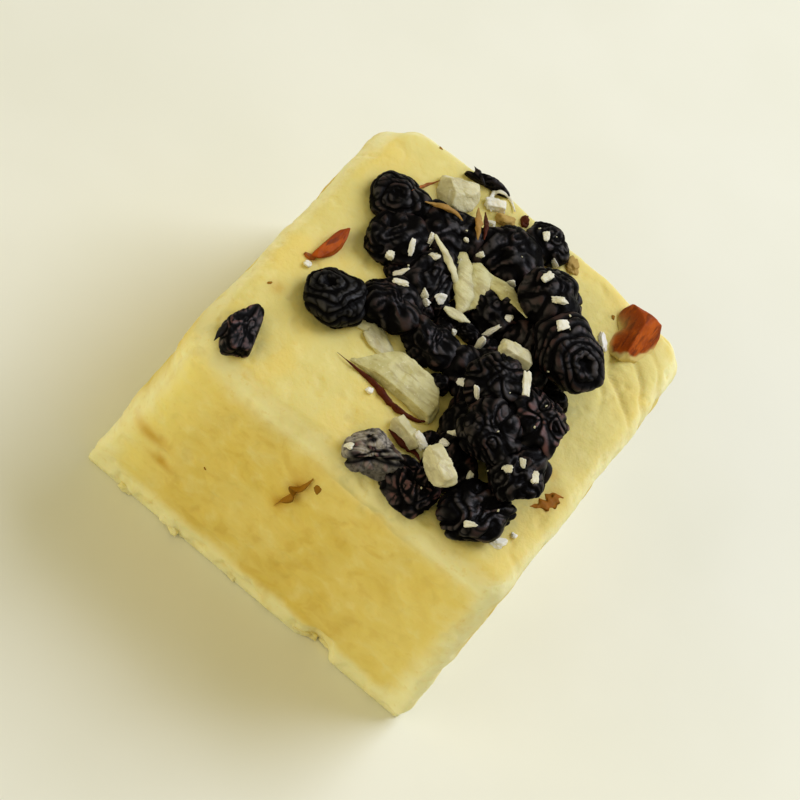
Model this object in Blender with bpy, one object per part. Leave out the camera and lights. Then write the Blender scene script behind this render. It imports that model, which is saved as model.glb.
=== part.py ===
"""Patisa: one square piece of a pressed, pale yellow sweet, topped with dried dark berries and almonds.

Metres, +Z up. The origin is the centre of the flat foot, and the front face looks along -Y.
"""

import math
import random

import bmesh
import bpy
from mathutils import Euler, Matrix, Vector, noise

# The sweet: its foot, its height, how its sides lean and how soft its edges are
WIDTH = 0.0425
DEPTH = 0.0430
HEIGHT = 0.0274
TAPER = 0.0007
LEFT_DRAW_IN = 0.0009
DOME = 0.0003
FOOT_ROUND = 0.0008
RIM_ROUND = 0.0022

# Each top corner: its side in X and in Y, its rounding, and how far it has slumped
CORNERS = {
    "front_left": (-1, -1, 0.0042, 0.0011),
    "front_right": (1, -1, 0.0026, 0.0002),
    "back_left": (-1, 1, 0.0050, 0.0005),
    "back_right": (1, 1, 0.0036, 0.0003),
}
CORNER_REACH = 0.0065

# The mesh of the sweet: cuts along X, Y and Z, drawn closer together towards its edges
GRID_CUTS = (21, 21, 12)
EDGE_CROWDING = 1.1

# Relief of the cut sides and of the pressed top: size of the bumps and their height
BUMP_SIZE = 0.0075
BUMP_HEIGHT = 0.00035
LAYER_LENGTH = 0.0080
LAYER_THICKNESS = 0.0022
LAYER_HEIGHT = 0.00030
CRAG_SIZE = 0.0030
CRAG_HEIGHT = 0.00018
FOOT_CRUMBLE = 0.00040
FOOT_BAND = 0.0035
# The foot is flat: what lies lower than this belongs to it
FLAT_BAND = 0.000001
RELIEF_SEED = Vector((3.7, 9.1, 5.3))

# Dried berries: flattened balls, folded from stalk to crown, pressed a little into the top
BERRY_RADIUS = 0.00262
BERRY_SPREAD = 0.08
BERRY_FLATNESS = 0.78
BERRY_SEGMENTS = 12
BERRY_RINGS = 7
BERRY_FOLDS = 6
FOLD_DEPTH = 0.13
DENT_DEPTH = 0.06
CROWN_DEPTH = 0.30
CROWN_START = 0.80
MOST_TILT = 0.7
PRESSED_IN = 0.0011
# Share of its radius by which a berry bulges sideways where it has room, and the least that is left of it
BULGE = 0.20
MOST_PRESSED = 0.80
OVERHANG = 0.35
# How the berries settle: the share of the way to its place that each is drawn in a round, and its fall
PLACE_PULL = 0.20
PLACE_HOLD = 0.05
FALL = 0.00003
PULL_ROUNDS = 300
FALL_ROUNDS = 420
SETTLE_ROUNDS = 560
BERRY_SEED = 11

# Where the berries lie: each strand is a line of berries, strung evenly from its first point to its last.
# Its numbers are the count, and the start above the top: 0 stays on the top, more settles on those below.
STRANDS = {
    "back": (5, 0.0, ((-0.0134, 0.0086), (-0.0074, 0.0098), (-0.0002, 0.0126), (0.0062, 0.0110),
                      (0.0102, 0.0072))),
    "left": (2, 0.0, ((-0.0108, 0.0044), (-0.0057, 0.0036))),
    "centre": (2, 0.0, ((0.0026, 0.0050), (0.0070, 0.0040))),
    "row": (4, 0.0, ((-0.0070, -0.0036), (-0.0014, -0.0034), (0.0042, -0.0034), (0.0098, -0.0026))),
    "second": (2, 0.0, ((0.0066, -0.0086), (0.0128, -0.0078))),
    "third": (2, 0.0, ((0.0088, -0.0122), (0.0116, -0.0148))),
    "upper": (4, 0.0040, ((0.0066, -0.0048), (0.0118, -0.0056), (0.0090, -0.0100), (0.0132, -0.0108))),
}
# Berries that lie by themselves or stand out: place in X and Y, starting height and radius
SINGLES = {
    "big": (0.0102, 0.0040, 0.0040, 0.0033),
    "crest": (0.0048, 0.0094, 0.0040, 0.0026),
    "round": (-0.0112, -0.0063, 0.0, 0.0028),
    "rear": (0.0014, 0.0170, 0.0, 0.0023),
    "front_left": (0.0018, -0.0180, 0.0, 0.0024),
    "front_right": (0.0063, -0.0184, 0.0, 0.0023),
}

# Chopped almond that lies loose in the cluster: place in X and Y, starting height and radius
CHIPS = {
    "flesh_rear": (-0.0092, 0.0150, 0.0, 0.0024),
    "flesh_front": (0.0029, -0.0138, 0.0, 0.0021),
    "flesh_side": (0.0072, -0.0160, 0.0050, 0.0022),
    "flesh_inner": (0.0062, 0.0010, 0.0040, 0.0018),
}
CHIP_CUTS = 6
CHIP_SEED = 5

# Larger flat-lying pieces: half sizes, place in X and Y, turn about Z in degrees
ALMOND_WEDGE = ((0.0033, 0.0042, 0.0021), (0.0142, 0.0160), 4)
ALMOND_SLICE = ((0.0054, 0.0024, 0.0009), (-0.0014, -0.0082), -1)
ALMOND_SLIVER = ((0.0010, 0.0038, 0.0009), (-0.0153, -0.0010), -7)
FLAT_BERRY = ((0.0019, 0.0033, 0.0013), (-0.0163, -0.0164), 6)
BERRY_SKIN = ((0.0027, 0.0009, 0.0009), (-0.0076, 0.0191), 14)
# Share of a flat-lying piece that is sunk in the top
SUNK_SHARE = 0.35
SKIN_CURL = 0.45
SLICE_BOW = 0.95
SLICE_CUTS = 7
SLICE_CHAMFER = 0.90

# Planes that cut the almond wedge to its flesh, as a direction and a distance from its centre
WEDGE_CUTS = (
    ((-0.80, -0.35, 0.50), 0.42),
    ((0.85, -0.30, 0.42), 0.50),
    ((0.00, 0.95, 0.30), 0.70),
)

# Crumbs that have baked onto the top: place in X and Y, and radius
TOP_CRUMBS = (
    (-0.0050, 0.0168, 0.0011),
    (-0.0053, 0.0141, 0.0008),
    (-0.0028, 0.0180, 0.0008),
    (0.0181, -0.0084, 0.0008),
    (0.0171, -0.0130, 0.0008),
)
TOP_CRUMB_FLATNESS = 0.6
FOOT_CRUMBS = 22
FOOT_CRUMB_HALF = (0.0013, 0.0005, 0.0005)
FOOT_CRUMB_SPAN = 0.88
FOOT_CRUMB_INSET = 0.990
CRUMB_SEED = 23

# Clearance of a piece that lies in its pocket, or against another piece
GAP = 0.0003
POCKET_SEGMENTS = 14
POCKET_RINGS = 8

# Colours, linear RGB, and roughness
YELLOW = ((0.78, 0.66, 0.30), 0.62)
BERRY_BLACK = ((0.010, 0.009, 0.014), 0.38)
ALMOND_FLESH = ((0.80, 0.70, 0.46), 0.55)
ALMOND_SKIN = ((0.24, 0.060, 0.016), 0.50)


def clear_scene():
    for thing in list(bpy.data.objects):
        bpy.data.objects.remove(thing, do_unlink=True)


def new_collection(name):
    collection = bpy.data.collections.new(name)
    bpy.context.scene.collection.children.link(collection)
    return collection


def make_material(name, look):
    colour, roughness = look
    material = bpy.data.materials.new(name)
    material.use_nodes = True
    shader = material.node_tree.nodes["Principled BSDF"]
    shader.inputs["Base Color"].default_value = (*colour, 1.0)
    shader.inputs["Roughness"].default_value = roughness
    shader.inputs["Metallic"].default_value = 0.0
    material.diffuse_color = (*colour, 1.0)
    return material


def clamp(value, low, high):
    return min(max(value, low), high)


def soft_step(low, high, value):
    """Rises smoothly from 0 at low to 1 at high."""
    share = clamp((value - low) / (high - low), 0.0, 1.0)
    return share * share * (3.0 - 2.0 * share)


def corner_nearness(side_x, side_y, x, y):
    """1 at a corner of the sweet, falling off smoothly over CORNER_REACH."""
    away = math.hypot(x - side_x * WIDTH / 2, y - side_y * DEPTH / 2)
    return math.exp(-((away / CORNER_REACH) ** 2))


def edge_rounding(x, y, z):
    """The rounding radius near a point: small at the foot, larger at the rim, largest at soft corners."""
    rim = RIM_ROUND
    for side_x, side_y, rounding, _slump in CORNERS.values():
        rim += (rounding - RIM_ROUND) * corner_nearness(side_x, side_y, x, y)
    return FOOT_ROUND + (rim - FOOT_ROUND) * soft_step(0.0, 0.6 * HEIGHT, z)


def top_offset(x, y):
    """How far the top stands above the plain height: a slight dome, less the slumped corners."""
    dome = DOME * (1 - (2 * x / WIDTH) ** 2) * (1 - (2 * y / DEPTH) ** 2)
    slump = 0.0
    for side_x, side_y, _rounding, drop in CORNERS.values():
        slump += drop * corner_nearness(side_x, side_y, x, y)
    return dome - slump


def top_height(x, y):
    """Height of the top at a place, with the fall of its rounded rim."""
    rounding = edge_rounding(x, y, HEIGHT)
    inset = min(WIDTH / 2 - TAPER - abs(x), DEPTH / 2 - TAPER - abs(y))
    reach = rounding - clamp(inset, 0.0, rounding)
    return HEIGHT + top_offset(x, y) - rounding + math.sqrt(rounding ** 2 - reach ** 2)


def relief(spot, outward):
    """Height of the bumps, pressed layers and crags at a point of the surface."""
    upright = 1.0 - abs(outward.z)
    bumps = BUMP_HEIGHT * noise.noise(spot / BUMP_SIZE + RELIEF_SEED)
    layer_spot = Vector((spot.x / LAYER_LENGTH, spot.y / LAYER_LENGTH, spot.z / LAYER_THICKNESS))
    layers = LAYER_HEIGHT * upright * noise.noise(layer_spot - RELIEF_SEED)
    crags = CRAG_HEIGHT * noise.noise(spot / CRAG_SIZE + 2 * RELIEF_SEED)
    foot = 1.0 - soft_step(0.0, FOOT_BAND, spot.z)
    crumble = FOOT_CRUMBLE * foot * upright * noise.noise(spot / CRAG_SIZE - 2 * RELIEF_SEED)
    return bumps + layers + crags + crumble


def crowd_to_edges(value):
    """Moves grid lines, from -1 to 1, closer together towards the edges."""
    return math.sin(value * EDGE_CROWDING) / math.sin(EDGE_CROWDING)


def surface_point(cube_point):
    """Takes a point of a plain cube's surface, -1 to 1 each way, to the surface of the sweet."""
    across, along, up = cube_point
    z = HEIGHT * (up + 1) / 2
    lean = TAPER * z / HEIGHT
    half_width = WIDTH / 2 - lean
    half_depth = DEPTH / 2 - lean
    corner = Vector((across * half_width, along * half_depth, z))
    rounding = edge_rounding(*corner)
    inner = Vector((
        clamp(corner.x, rounding - half_width, half_width - rounding),
        clamp(corner.y, rounding - half_depth, half_depth - rounding),
        clamp(z, rounding, HEIGHT - rounding),
    ))
    outward = (corner - inner).normalized()
    smooth = inner + outward * rounding
    lift = 0.0 if z < FLAT_BAND else relief(smooth, outward)
    spot = smooth + outward * lift
    spot.z = max(spot.z + top_offset(spot.x, spot.y) * soft_step(0.4, 1.0, z / HEIGHT), 0.0)
    spot.x += LEFT_DRAW_IN * (0.5 - spot.x / WIDTH) * (0.5 + spot.y / DEPTH)
    return spot


def cut_grid(shape, axis, cuts):
    """Cuts all edges of a box that run along one axis."""
    along = []
    for edge in shape.edges:
        run = (edge.verts[0].co - edge.verts[1].co).normalized()
        if abs(run[axis]) > 0.99:
            along.append(edge)
    bmesh.ops.subdivide_edges(shape, edges=along, cuts=cuts, use_grid_fill=True)


def finish_mesh(shape, name, material):
    """Turns a bmesh into a mesh with one material and outward faces."""
    bmesh.ops.recalc_face_normals(shape, faces=shape.faces)
    mesh = bpy.data.meshes.new(name)
    shape.to_mesh(mesh)
    shape.free()
    if material is not None:
        mesh.materials.append(material)
    return mesh


def make_sweet(collection, material):
    """The body: a cube, cut to a grid and moved to the soft outline, with one flat face as its foot."""
    shape = bmesh.new()
    bmesh.ops.create_cube(shape, size=2.0)
    for axis, cuts in enumerate(GRID_CUTS):
        cut_grid(shape, axis, cuts)
    for vert in shape.verts:
        vert.co = surface_point([crowd_to_edges(value) for value in vert.co])
    flat = [face for face in shape.faces if max(vert.co.z for vert in face.verts) < FLAT_BAND]
    bmesh.ops.dissolve_faces(shape, faces=flat, use_verts=True)
    body = bpy.data.objects.new("patisa_body", finish_mesh(shape, "patisa_body", material))
    collection.objects.link(body)
    return body


def berry_shape(draw):
    """A wrinkled ball inside the unit ball: folds run from the stalk end to a sunken crown, which tilts."""
    shape = bmesh.new()
    bmesh.ops.create_uvsphere(shape, u_segments=BERRY_SEGMENTS, v_segments=BERRY_RINGS, radius=1.0)
    nod = draw.uniform(-MOST_TILT, MOST_TILT)
    roll = draw.uniform(-MOST_TILT, MOST_TILT)
    tilt = Euler((nod, roll, draw.uniform(0, math.tau))).to_matrix()
    phase = draw.uniform(0, math.tau)
    for vert in shape.verts:
        spot = vert.co.normalized()
        around = math.atan2(spot.y, spot.x)
        flank = 1.0 - spot.z ** 2
        fold = 0.5 + 0.5 * math.cos(BERRY_FOLDS * around)
        dent = 0.5 + 0.5 * math.sin(2 * around + phase)
        crown = soft_step(CROWN_START, 1.0, spot.z)
        reach = 1.0 - flank * (FOLD_DEPTH * fold + DENT_DEPTH * dent) - CROWN_DEPTH * crown
        vert.co = tilt @ (spot * reach)
    return shape


def chopped_shape(planes):
    """A chopped nut inside the unit ball: a ball whose sides are pressed flat to some planes."""
    shape = bmesh.new()
    bmesh.ops.create_icosphere(shape, subdivisions=2, radius=1.0)
    for direction, reach in planes:
        outward = Vector(direction).normalized()
        for vert in shape.verts:
            over = vert.co.dot(outward) - reach
            if over > 0:
                vert.co -= outward * over
    return shape


def random_planes(draw, count):
    """Cutting planes in drawn directions, each between half and nine tenths of the way out."""
    planes = []
    for _cut in range(count):
        direction = (draw.gauss(0, 1), draw.gauss(0, 1), draw.gauss(0, 1))
        planes.append((direction, draw.uniform(0.5, 0.9)))
    return planes


def slice_shape():
    """A flat slice of almond in the unit box: straight in front, bowed at the back, with chamfered faces."""
    shape = bmesh.new()
    bmesh.ops.create_cube(shape, size=2.0)
    cut_grid(shape, 0, SLICE_CUTS)
    cut_grid(shape, 2, 1)
    for vert in shape.verts:
        bow = math.sqrt(1.0 - (SLICE_BOW * vert.co.x) ** 4)
        vert.co.y = -1.0 + (vert.co.y + 1.0) * bow
        if abs(vert.co.z) > 0.5:
            vert.co.x *= SLICE_CHAMFER
            vert.co.y *= SLICE_CHAMFER
    return shape


def skin_shape(draw):
    """A curled strip of berry skin inside the unit box."""
    shape = chopped_shape(random_planes(draw, CHIP_CUTS))
    for vert in shape.verts:
        vert.co.y = (1.0 - SKIN_CURL) * vert.co.y + SKIN_CURL * (1.0 - 2.0 * vert.co.x ** 2)
    return shape


def pocket_shape():
    shape = bmesh.new()
    bmesh.ops.create_uvsphere(shape, u_segments=POCKET_SEGMENTS, v_segments=POCKET_RINGS, radius=1.0)
    return shape


def add_shape(collection, name, shape, half, spot, turn, material):
    """Adds a unit shape as an object of the given half sizes, turned about Z and set at spot."""
    bmesh.ops.transform(shape, matrix=Matrix.Diagonal((*half, 1.0)), verts=shape.verts)
    thing = bpy.data.objects.new(name, finish_mesh(shape, name, material))
    thing.location = spot
    thing.rotation_euler = (0.0, 0.0, turn)
    collection.objects.link(thing)
    return thing


def add_cutter(cutters, name, shape, half, spot, turn):
    """Adds the pocket of a piece: its room in the sweet, larger by the gap all round."""
    roomy = [size + GAP for size in half]
    cutter = add_shape(cutters, "pocket_" + name, shape, roomy, spot, turn, None)
    cutter.hide_render = True
    cutter.display_type = "WIRE"


def point_along(points, share):
    """The point at a share of the length of a line through some points."""
    legs = [math.dist(first, last) for first, last in zip(points, points[1:])]
    left = share * sum(legs)
    for (first, last), leg in zip(zip(points, points[1:]), legs):
        if left <= leg:
            return Vector(first).lerp(Vector(last), left / leg)
        left -= leg
    return Vector(points[-1])


def lay_berries():
    """Name, place in plan, starting height and radius of each berry: the strands, then the singles."""
    draw = random.Random(BERRY_SEED)
    berries = []
    for strand, (count, lift, points) in STRANDS.items():
        for number in range(count):
            spot = point_along(points, number / (count - 1))
            radius = BERRY_RADIUS * draw.uniform(1 - BERRY_SPREAD, 1 + BERRY_SPREAD)
            berries.append((f"berry_{strand}_{number + 1}", spot.x, spot.y, lift, radius))
    for name, place in SINGLES.items():
        berries.append((f"berry_{name}", *place))
    return berries


def rest_height(x, y, radius):
    """Height of a piece's centre when it is pressed a little into the top."""
    return top_height(x, y) - PRESSED_IN + BERRY_FLATNESS * radius


def separate(first, second, reach):
    """Moves two spots apart along the line between them until they are at least reach away."""
    between = first - second
    if between.length < reach:
        step = between.normalized() * (reach - between.length) / 2
        first += step
        second -= step


def lay_flat(size_and_place):
    """Half sizes, centre and turn of a piece that lies partly sunk in the top."""
    half, (x, y), degrees = size_and_place
    spot = Vector((x, y, top_height(x, y) + half[2] * (1 - 2 * SUNK_SHARE)))
    return half, spot, math.radians(degrees)


def ways_to_flat_pieces(spot, radius):
    """Level ways from the centre of a ball to the flat-lying pieces that reach as high as its foot."""
    ways = []
    for size_and_place in (ALMOND_WEDGE, ALMOND_SLICE, ALMOND_SLIVER, FLAT_BERRY, BERRY_SKIN):
        half, centre, turn = lay_flat(size_and_place)
        if (spot.z - radius) * BERRY_FLATNESS < centre.z + half[2]:
            frame = Matrix.Rotation(turn, 2)
            place = frame.transposed() @ (spot.xy - centre.xy)
            nearest = Vector((clamp(place.x, -half[0], half[0]), clamp(place.y, -half[1], half[1])))
            ways.append((frame @ (nearest - place)).to_3d())
    return ways


def settle(pieces):
    """Lets the crowded pieces find room: drawn to their places, falling, and pushed off each other.

    Heights are divided by the flatness, here and in the result: flattened balls then touch as round ones do.
    """
    spots = []
    for _name, x, y, lift, radius in pieces:
        spots.append(Vector((x, y, (rest_height(x, y, radius) + lift) / BERRY_FLATNESS)))
    gap = GAP / BERRY_FLATNESS
    for number in range(SETTLE_ROUNDS):
        if number < FALL_ROUNDS:
            pull = max(PLACE_HOLD, PLACE_PULL * (1.0 - number / PULL_ROUNDS))
            for spot, (_name, x, y, _lift, _radius) in zip(spots, pieces):
                spot.x += (x - spot.x) * pull
                spot.y += (y - spot.y) * pull
                spot.z -= FALL
        for index, first in enumerate(spots):
            for other in range(index + 1, len(spots)):
                separate(first, spots[other], pieces[index][4] + pieces[other][4] + gap)
        for spot, (_name, _x, _y, lift, radius) in zip(spots, pieces):
            for way in ways_to_flat_pieces(spot, radius):
                spot -= way.normalized() * max(MOST_PRESSED * radius + GAP - way.length, 0.0)
            inset = TAPER + (1 - OVERHANG) * radius
            spot.x = clamp(spot.x, inset - WIDTH / 2, WIDTH / 2 - inset)
            spot.y = clamp(spot.y, inset - DEPTH / 2, DEPTH / 2 - inset)
            rest = rest_height(spot.x, spot.y, radius) / BERRY_FLATNESS
            spot.z = max(spot.z, rest) if lift > 0 else rest
    return spots


def neighbour_planes(index, spots, pieces):
    """Planes halfway to each neighbour, as a direction and a distance in radii of the piece.

    A larger piece has its plane further out, so that every plane passes between the two balls.
    """
    radius = pieces[index][4]
    planes = []
    for other, spot in enumerate(spots):
        between = spot - spots[index]
        if other != index and between.length < 4 * BERRY_RADIUS:
            halfway = (between.length + (radius ** 2 - pieces[other][4] ** 2) / between.length) / 2
            planes.append((between.normalized(), (halfway - 0.5 * GAP / BERRY_FLATNESS) / radius))
    return planes


def flat_piece_planes(spot, radius):
    """Upright planes in front of the flat-lying pieces that a ball stands beside, in radii of the ball."""
    planes = []
    for way in ways_to_flat_pieces(spot, radius):
        planes.append((way.normalized(), max((way.length - GAP) / radius, MOST_PRESSED)))
    return planes


def bulge(shape, planes):
    """Widens a unit shape sideways, as far as the planes round it leave room."""
    for vert in shape.verts:
        outward = vert.co.normalized()
        room = 1.0 + BULGE * (1.0 - outward.z ** 2)
        for direction, distance in planes:
            facing = outward.dot(direction)
            if facing > 0.0:
                room = min(room, distance / facing)
        vert.co *= room


def make_cluster(collection, cutters, berry_material, flesh_material):
    """The heap of berries with its loose almond chips, each piece an object of its own."""
    pieces = lay_berries() + [(f"almond_{name}", *chip) for name, chip in CHIPS.items()]
    spots = settle(pieces)
    draw = random.Random(CHIP_SEED)
    for index, (name, _x, _y, _lift, radius) in enumerate(pieces):
        if name.startswith("berry"):
            shape = berry_shape(draw)
            material = berry_material
        else:
            shape = chopped_shape(random_planes(draw, CHIP_CUTS))
            material = flesh_material
        bulge(shape, neighbour_planes(index, spots, pieces) + flat_piece_planes(spots[index], radius))
        pocket = pocket_shape()
        bulge(pocket, [])
        half = (radius, radius, BERRY_FLATNESS * radius)
        spot = Vector((spots[index].x, spots[index].y, spots[index].z * BERRY_FLATNESS))
        add_shape(collection, name, shape, half, spot, 0.0, material)
        add_cutter(cutters, name, pocket, half, spot, 0.0)


def make_flat_pieces(collection, cutters, berry_material, flesh_material, skin_material):
    """The almond wedge, slice and sliver, the flat berry and the strip of skin."""
    draw = random.Random(CHIP_SEED + 1)
    plans = (
        ("almond_wedge", ALMOND_WEDGE, chopped_shape(WEDGE_CUTS), pocket_shape(), skin_material),
        ("almond_slice", ALMOND_SLICE, slice_shape(), slice_shape(), flesh_material),
        ("almond_sliver", ALMOND_SLIVER, chopped_shape(random_planes(draw, CHIP_CUTS)), pocket_shape(),
         skin_material),
        ("berry_flat", FLAT_BERRY, berry_shape(draw), pocket_shape(), berry_material),
        ("berry_skin", BERRY_SKIN, skin_shape(draw), pocket_shape(), berry_material),
    )
    for name, size_and_place, shape, pocket, material in plans:
        half, spot, turn = lay_flat(size_and_place)
        add_shape(collection, name, shape, half, spot, turn, material)
        add_cutter(cutters, name, pocket, half, spot, turn)


def crumb_places():
    """Half sizes, centre and turn of each crumb: named ones on the top, drawn ones along the foot."""
    draw = random.Random(CRUMB_SEED)
    for x, y, radius in TOP_CRUMBS:
        half = (radius, 0.8 * radius, TOP_CRUMB_FLATNESS * radius)
        yield half, Vector((x, y, top_height(x, y))), draw.uniform(0, math.tau)
    for number in range(FOOT_CRUMBS):
        side = math.radians(90) * (number % 4)
        half = [size * draw.uniform(0.6, 1.3) for size in FOOT_CRUMB_HALF]
        height = half[2] * draw.uniform(1.05, 1.3)
        run = draw.uniform(-FOOT_CRUMB_SPAN, FOOT_CRUMB_SPAN)
        spot = surface_point(Matrix.Rotation(side, 3, "Z") @ Vector((run, -1.0, 2 * height / HEIGHT - 1)))
        spot = Vector((FOOT_CRUMB_INSET * spot.x, FOOT_CRUMB_INSET * spot.y, height))
        yield half, spot, side + draw.uniform(-0.3, 0.3)


def fuse_crumbs(body):
    """Joins the crumbs to the body with one union, and removes the loose ones."""
    crumbs = new_collection("crumbs")
    for number, (half, spot, turn) in enumerate(crumb_places()):
        shape = bmesh.new()
        bmesh.ops.create_icosphere(shape, subdivisions=1, radius=1.0)
        add_shape(crumbs, f"crumb_{number}", shape, half, spot, turn, None)
    union = body.modifiers.new("crumbs", "BOOLEAN")
    union.operation = "UNION"
    union.solver = "EXACT"
    union.operand_type = "COLLECTION"
    union.collection = crumbs
    bpy.context.view_layer.update()
    evaluated = body.evaluated_get(bpy.context.evaluated_depsgraph_get())
    joined = bpy.data.meshes.new_from_object(evaluated)
    body.modifiers.remove(union)
    body.data = joined
    for crumb in list(crumbs.objects):
        bpy.data.objects.remove(crumb, do_unlink=True)
    bpy.data.collections.remove(crumbs)


def cut_pockets(body, cutters):
    cut = body.modifiers.new("pockets", "BOOLEAN")
    cut.operation = "DIFFERENCE"
    cut.solver = "EXACT"
    cut.operand_type = "COLLECTION"
    cut.collection = cutters


def main():
    clear_scene()
    patisa = new_collection("patisa")
    cutters = new_collection("cutters")
    yellow = make_material("sweet", YELLOW)
    berry_black = make_material("berry", BERRY_BLACK)
    flesh = make_material("almond_flesh", ALMOND_FLESH)
    skin = make_material("almond_skin", ALMOND_SKIN)
    body = make_sweet(patisa, yellow)
    make_cluster(patisa, cutters, berry_black, flesh)
    make_flat_pieces(patisa, cutters, berry_black, flesh, skin)
    fuse_crumbs(body)
    cut_pockets(body, cutters)


main()
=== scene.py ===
"""The looks of one square piece of patisa: the pressed sweet, its dried berries, its almonds and its crumbs.

Metres, +Z up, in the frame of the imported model: the origin is the centre of the foot, and the front face
looks along -Y. Every piece comes from named sizes and from the form of the solid that it replaces.
"""

import functools
import math
import random

import bmesh
import bpy
import numpy as np
from mathutils import Matrix, Quaternion, Vector
from mathutils.bvhtree import BVHTree
from mathutils.noise import noise


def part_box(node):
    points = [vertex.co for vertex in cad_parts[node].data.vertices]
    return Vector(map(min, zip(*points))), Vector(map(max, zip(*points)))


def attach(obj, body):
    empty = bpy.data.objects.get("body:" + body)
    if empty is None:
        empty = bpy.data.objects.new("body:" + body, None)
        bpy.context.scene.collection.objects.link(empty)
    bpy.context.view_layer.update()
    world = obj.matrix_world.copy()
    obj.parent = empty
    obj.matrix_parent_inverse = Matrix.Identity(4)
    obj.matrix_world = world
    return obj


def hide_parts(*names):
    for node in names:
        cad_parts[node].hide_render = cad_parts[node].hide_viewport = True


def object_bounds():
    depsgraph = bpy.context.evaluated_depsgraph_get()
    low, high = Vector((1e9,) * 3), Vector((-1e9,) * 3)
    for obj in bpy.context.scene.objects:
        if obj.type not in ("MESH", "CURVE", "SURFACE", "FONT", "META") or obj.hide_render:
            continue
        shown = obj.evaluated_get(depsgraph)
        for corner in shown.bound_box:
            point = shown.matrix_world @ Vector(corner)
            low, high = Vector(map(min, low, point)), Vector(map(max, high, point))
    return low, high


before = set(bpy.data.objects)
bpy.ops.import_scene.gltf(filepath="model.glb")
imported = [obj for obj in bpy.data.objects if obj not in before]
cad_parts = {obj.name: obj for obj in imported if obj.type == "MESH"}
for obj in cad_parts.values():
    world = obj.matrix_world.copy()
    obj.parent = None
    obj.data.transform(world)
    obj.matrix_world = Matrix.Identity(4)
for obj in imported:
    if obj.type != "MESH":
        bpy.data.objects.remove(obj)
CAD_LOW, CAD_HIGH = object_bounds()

UP = Vector((0.0, 0.0, 1.0))
# Tables of small things are in millimetres and degrees; a view place in them is the X and Y that the camera sees
# on the plane of the top
MM = 0.001

# ---- The sweet: the same sizes as its solid ----
WIDTH = 0.0425
DEPTH = 0.043
HEIGHT = 0.0274
TAPER = 0.0007
LEFT_DRAW_IN = 0.0009
DOME = 0.0003
FOOT_ROUND = 0.0008
RIM_ROUND = 0.0022
# The corners: their side in X and Y, rounding and slump
CORNERS = ((-1, -1, 0.0042, 0.0011), (1, -1, 0.0026, 0.0002), (-1, 1, 0.005, 0.0005), (1, 1, 0.0036, 0.0003))
CORNER_REACH = 0.0065
BUMP_SIZE = 0.0075
BUMP_HEIGHT = 0.00035
LAYER_LENGTH = 0.008
LAYER_THICKNESS = 0.0022
LAYER_HEIGHT = 0.0003
CRAG_SIZE = 0.003
CRAG_HEIGHT = 0.00018
FOOT_CRUMBLE = 0.0004
FOOT_BAND = 0.0035
FLAT_BAND = 0.000001
RELIEF_SEED = Vector((3.7, 9.1, 5.3))

# Its finer mesh and relief, which the solid leaves out
FINE_CUTS = (150, 150, 104)
FINE_CROWDING = 0.75
GRAIN_SIZES = ((0.0011, 0.00005), (0.00055, 0.000028))
PIT_SIZE = 0.0016
PIT_DEPTH = 0.00016
FINE_LAYER_LENGTH = 0.0055
FINE_LAYER_THICKNESS = 0.0008
FINE_LAYER_HEIGHT = 0.00004
FRINGE_HEIGHT = 0.0026
FRINGE_STEP = 0.00034
FRINGE_SIZE = 0.0021

# Folds on the top of its right corner, beside the almond wedge
CORNER_FOLD_PLACE = (0.017, 0.011)
CORNER_FOLD_REACH = 0.0052
CORNER_FOLD_WIDTH = 0.0026
CORNER_FOLD_DEPTH = 0.00046
# The bite out of the foot of the front: its start, full part and end in X, its depth, and how it fades up and in
FOOT_BITE = (0.0072, 0.009, 0.0106, 0.0119)
FOOT_BITE_DEPTH = 0.0015
FOOT_BITE_HEIGHT = (0.0046, 0.0012)
FOOT_BITE_REACH = (0.0045, 0.0025)

# ---- Small helpers ----


def clamp(value, low, high):
    return min(max(value, low), high)


def soft_step(low, high, value):
    """Rises smoothly from 0 at low to 1 at high."""
    share = clamp((value - low) / (high - low), 0.0, 1.0)
    return share * share * (3.0 - 2.0 * share)


def crease(turns):
    """1 in a narrow valley at each whole number, and 0 on the round ridges between them."""
    return (1.0 - abs(math.sin(math.pi * turns))) ** 2


def set_marks(mesh, marks):
    """Gives a mesh smooth shading, and a point attribute for each mark."""
    mesh.polygons.foreach_set("use_smooth", [True] * len(mesh.polygons))
    for mark, values in marks.items():
        attribute = mesh.attributes.new(mark, "FLOAT", "POINT")
        attribute.data.foreach_set("value", np.asarray(values, np.float32))
    mesh.update()


def keep_inside(points):
    """Keeps points inside the box of the solids."""
    margin = 0.00001
    return np.clip(points, np.array(CAD_LOW) + (margin, margin, 0.0), np.array(CAD_HIGH) - margin)


def add_object(name, data):
    thing = bpy.data.objects.new(name, data)
    bpy.context.scene.collection.objects.link(thing)
    return thing


def add_piece(name, mesh, material, nodes=()):
    """Adds a mesh as a piece that rides on the sweet's body and stands for some of the solids."""
    mesh.materials.append(material)
    piece = add_object(name, mesh)
    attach(piece, "root")
    if nodes:
        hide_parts(*nodes)


@functools.cache
def ball(level):
    """Directions, triangles and edges of an even ball mesh; a higher level is finer."""
    shape = bmesh.new()
    bmesh.ops.create_icosphere(shape, subdivisions=level, radius=1.0)
    directions = np.array([vert.co.normalized() for vert in shape.verts])
    triangles, edges = (np.array([[vert.index for vert in part.verts] for part in parts])
                        for parts in (shape.faces, shape.edges))
    shape.free()
    return directions, triangles, edges


def smoothed(values, edges, rounds):
    """Averages a value with that of its neighbours, a number of times over."""
    values = np.array(values)
    own, other = np.concatenate([edges, edges[:, ::-1]]).T
    for _round in range(rounds):
        values = 0.5 * values + 0.5 * np.bincount(own, values[other]) / np.bincount(own)
    return values


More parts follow.
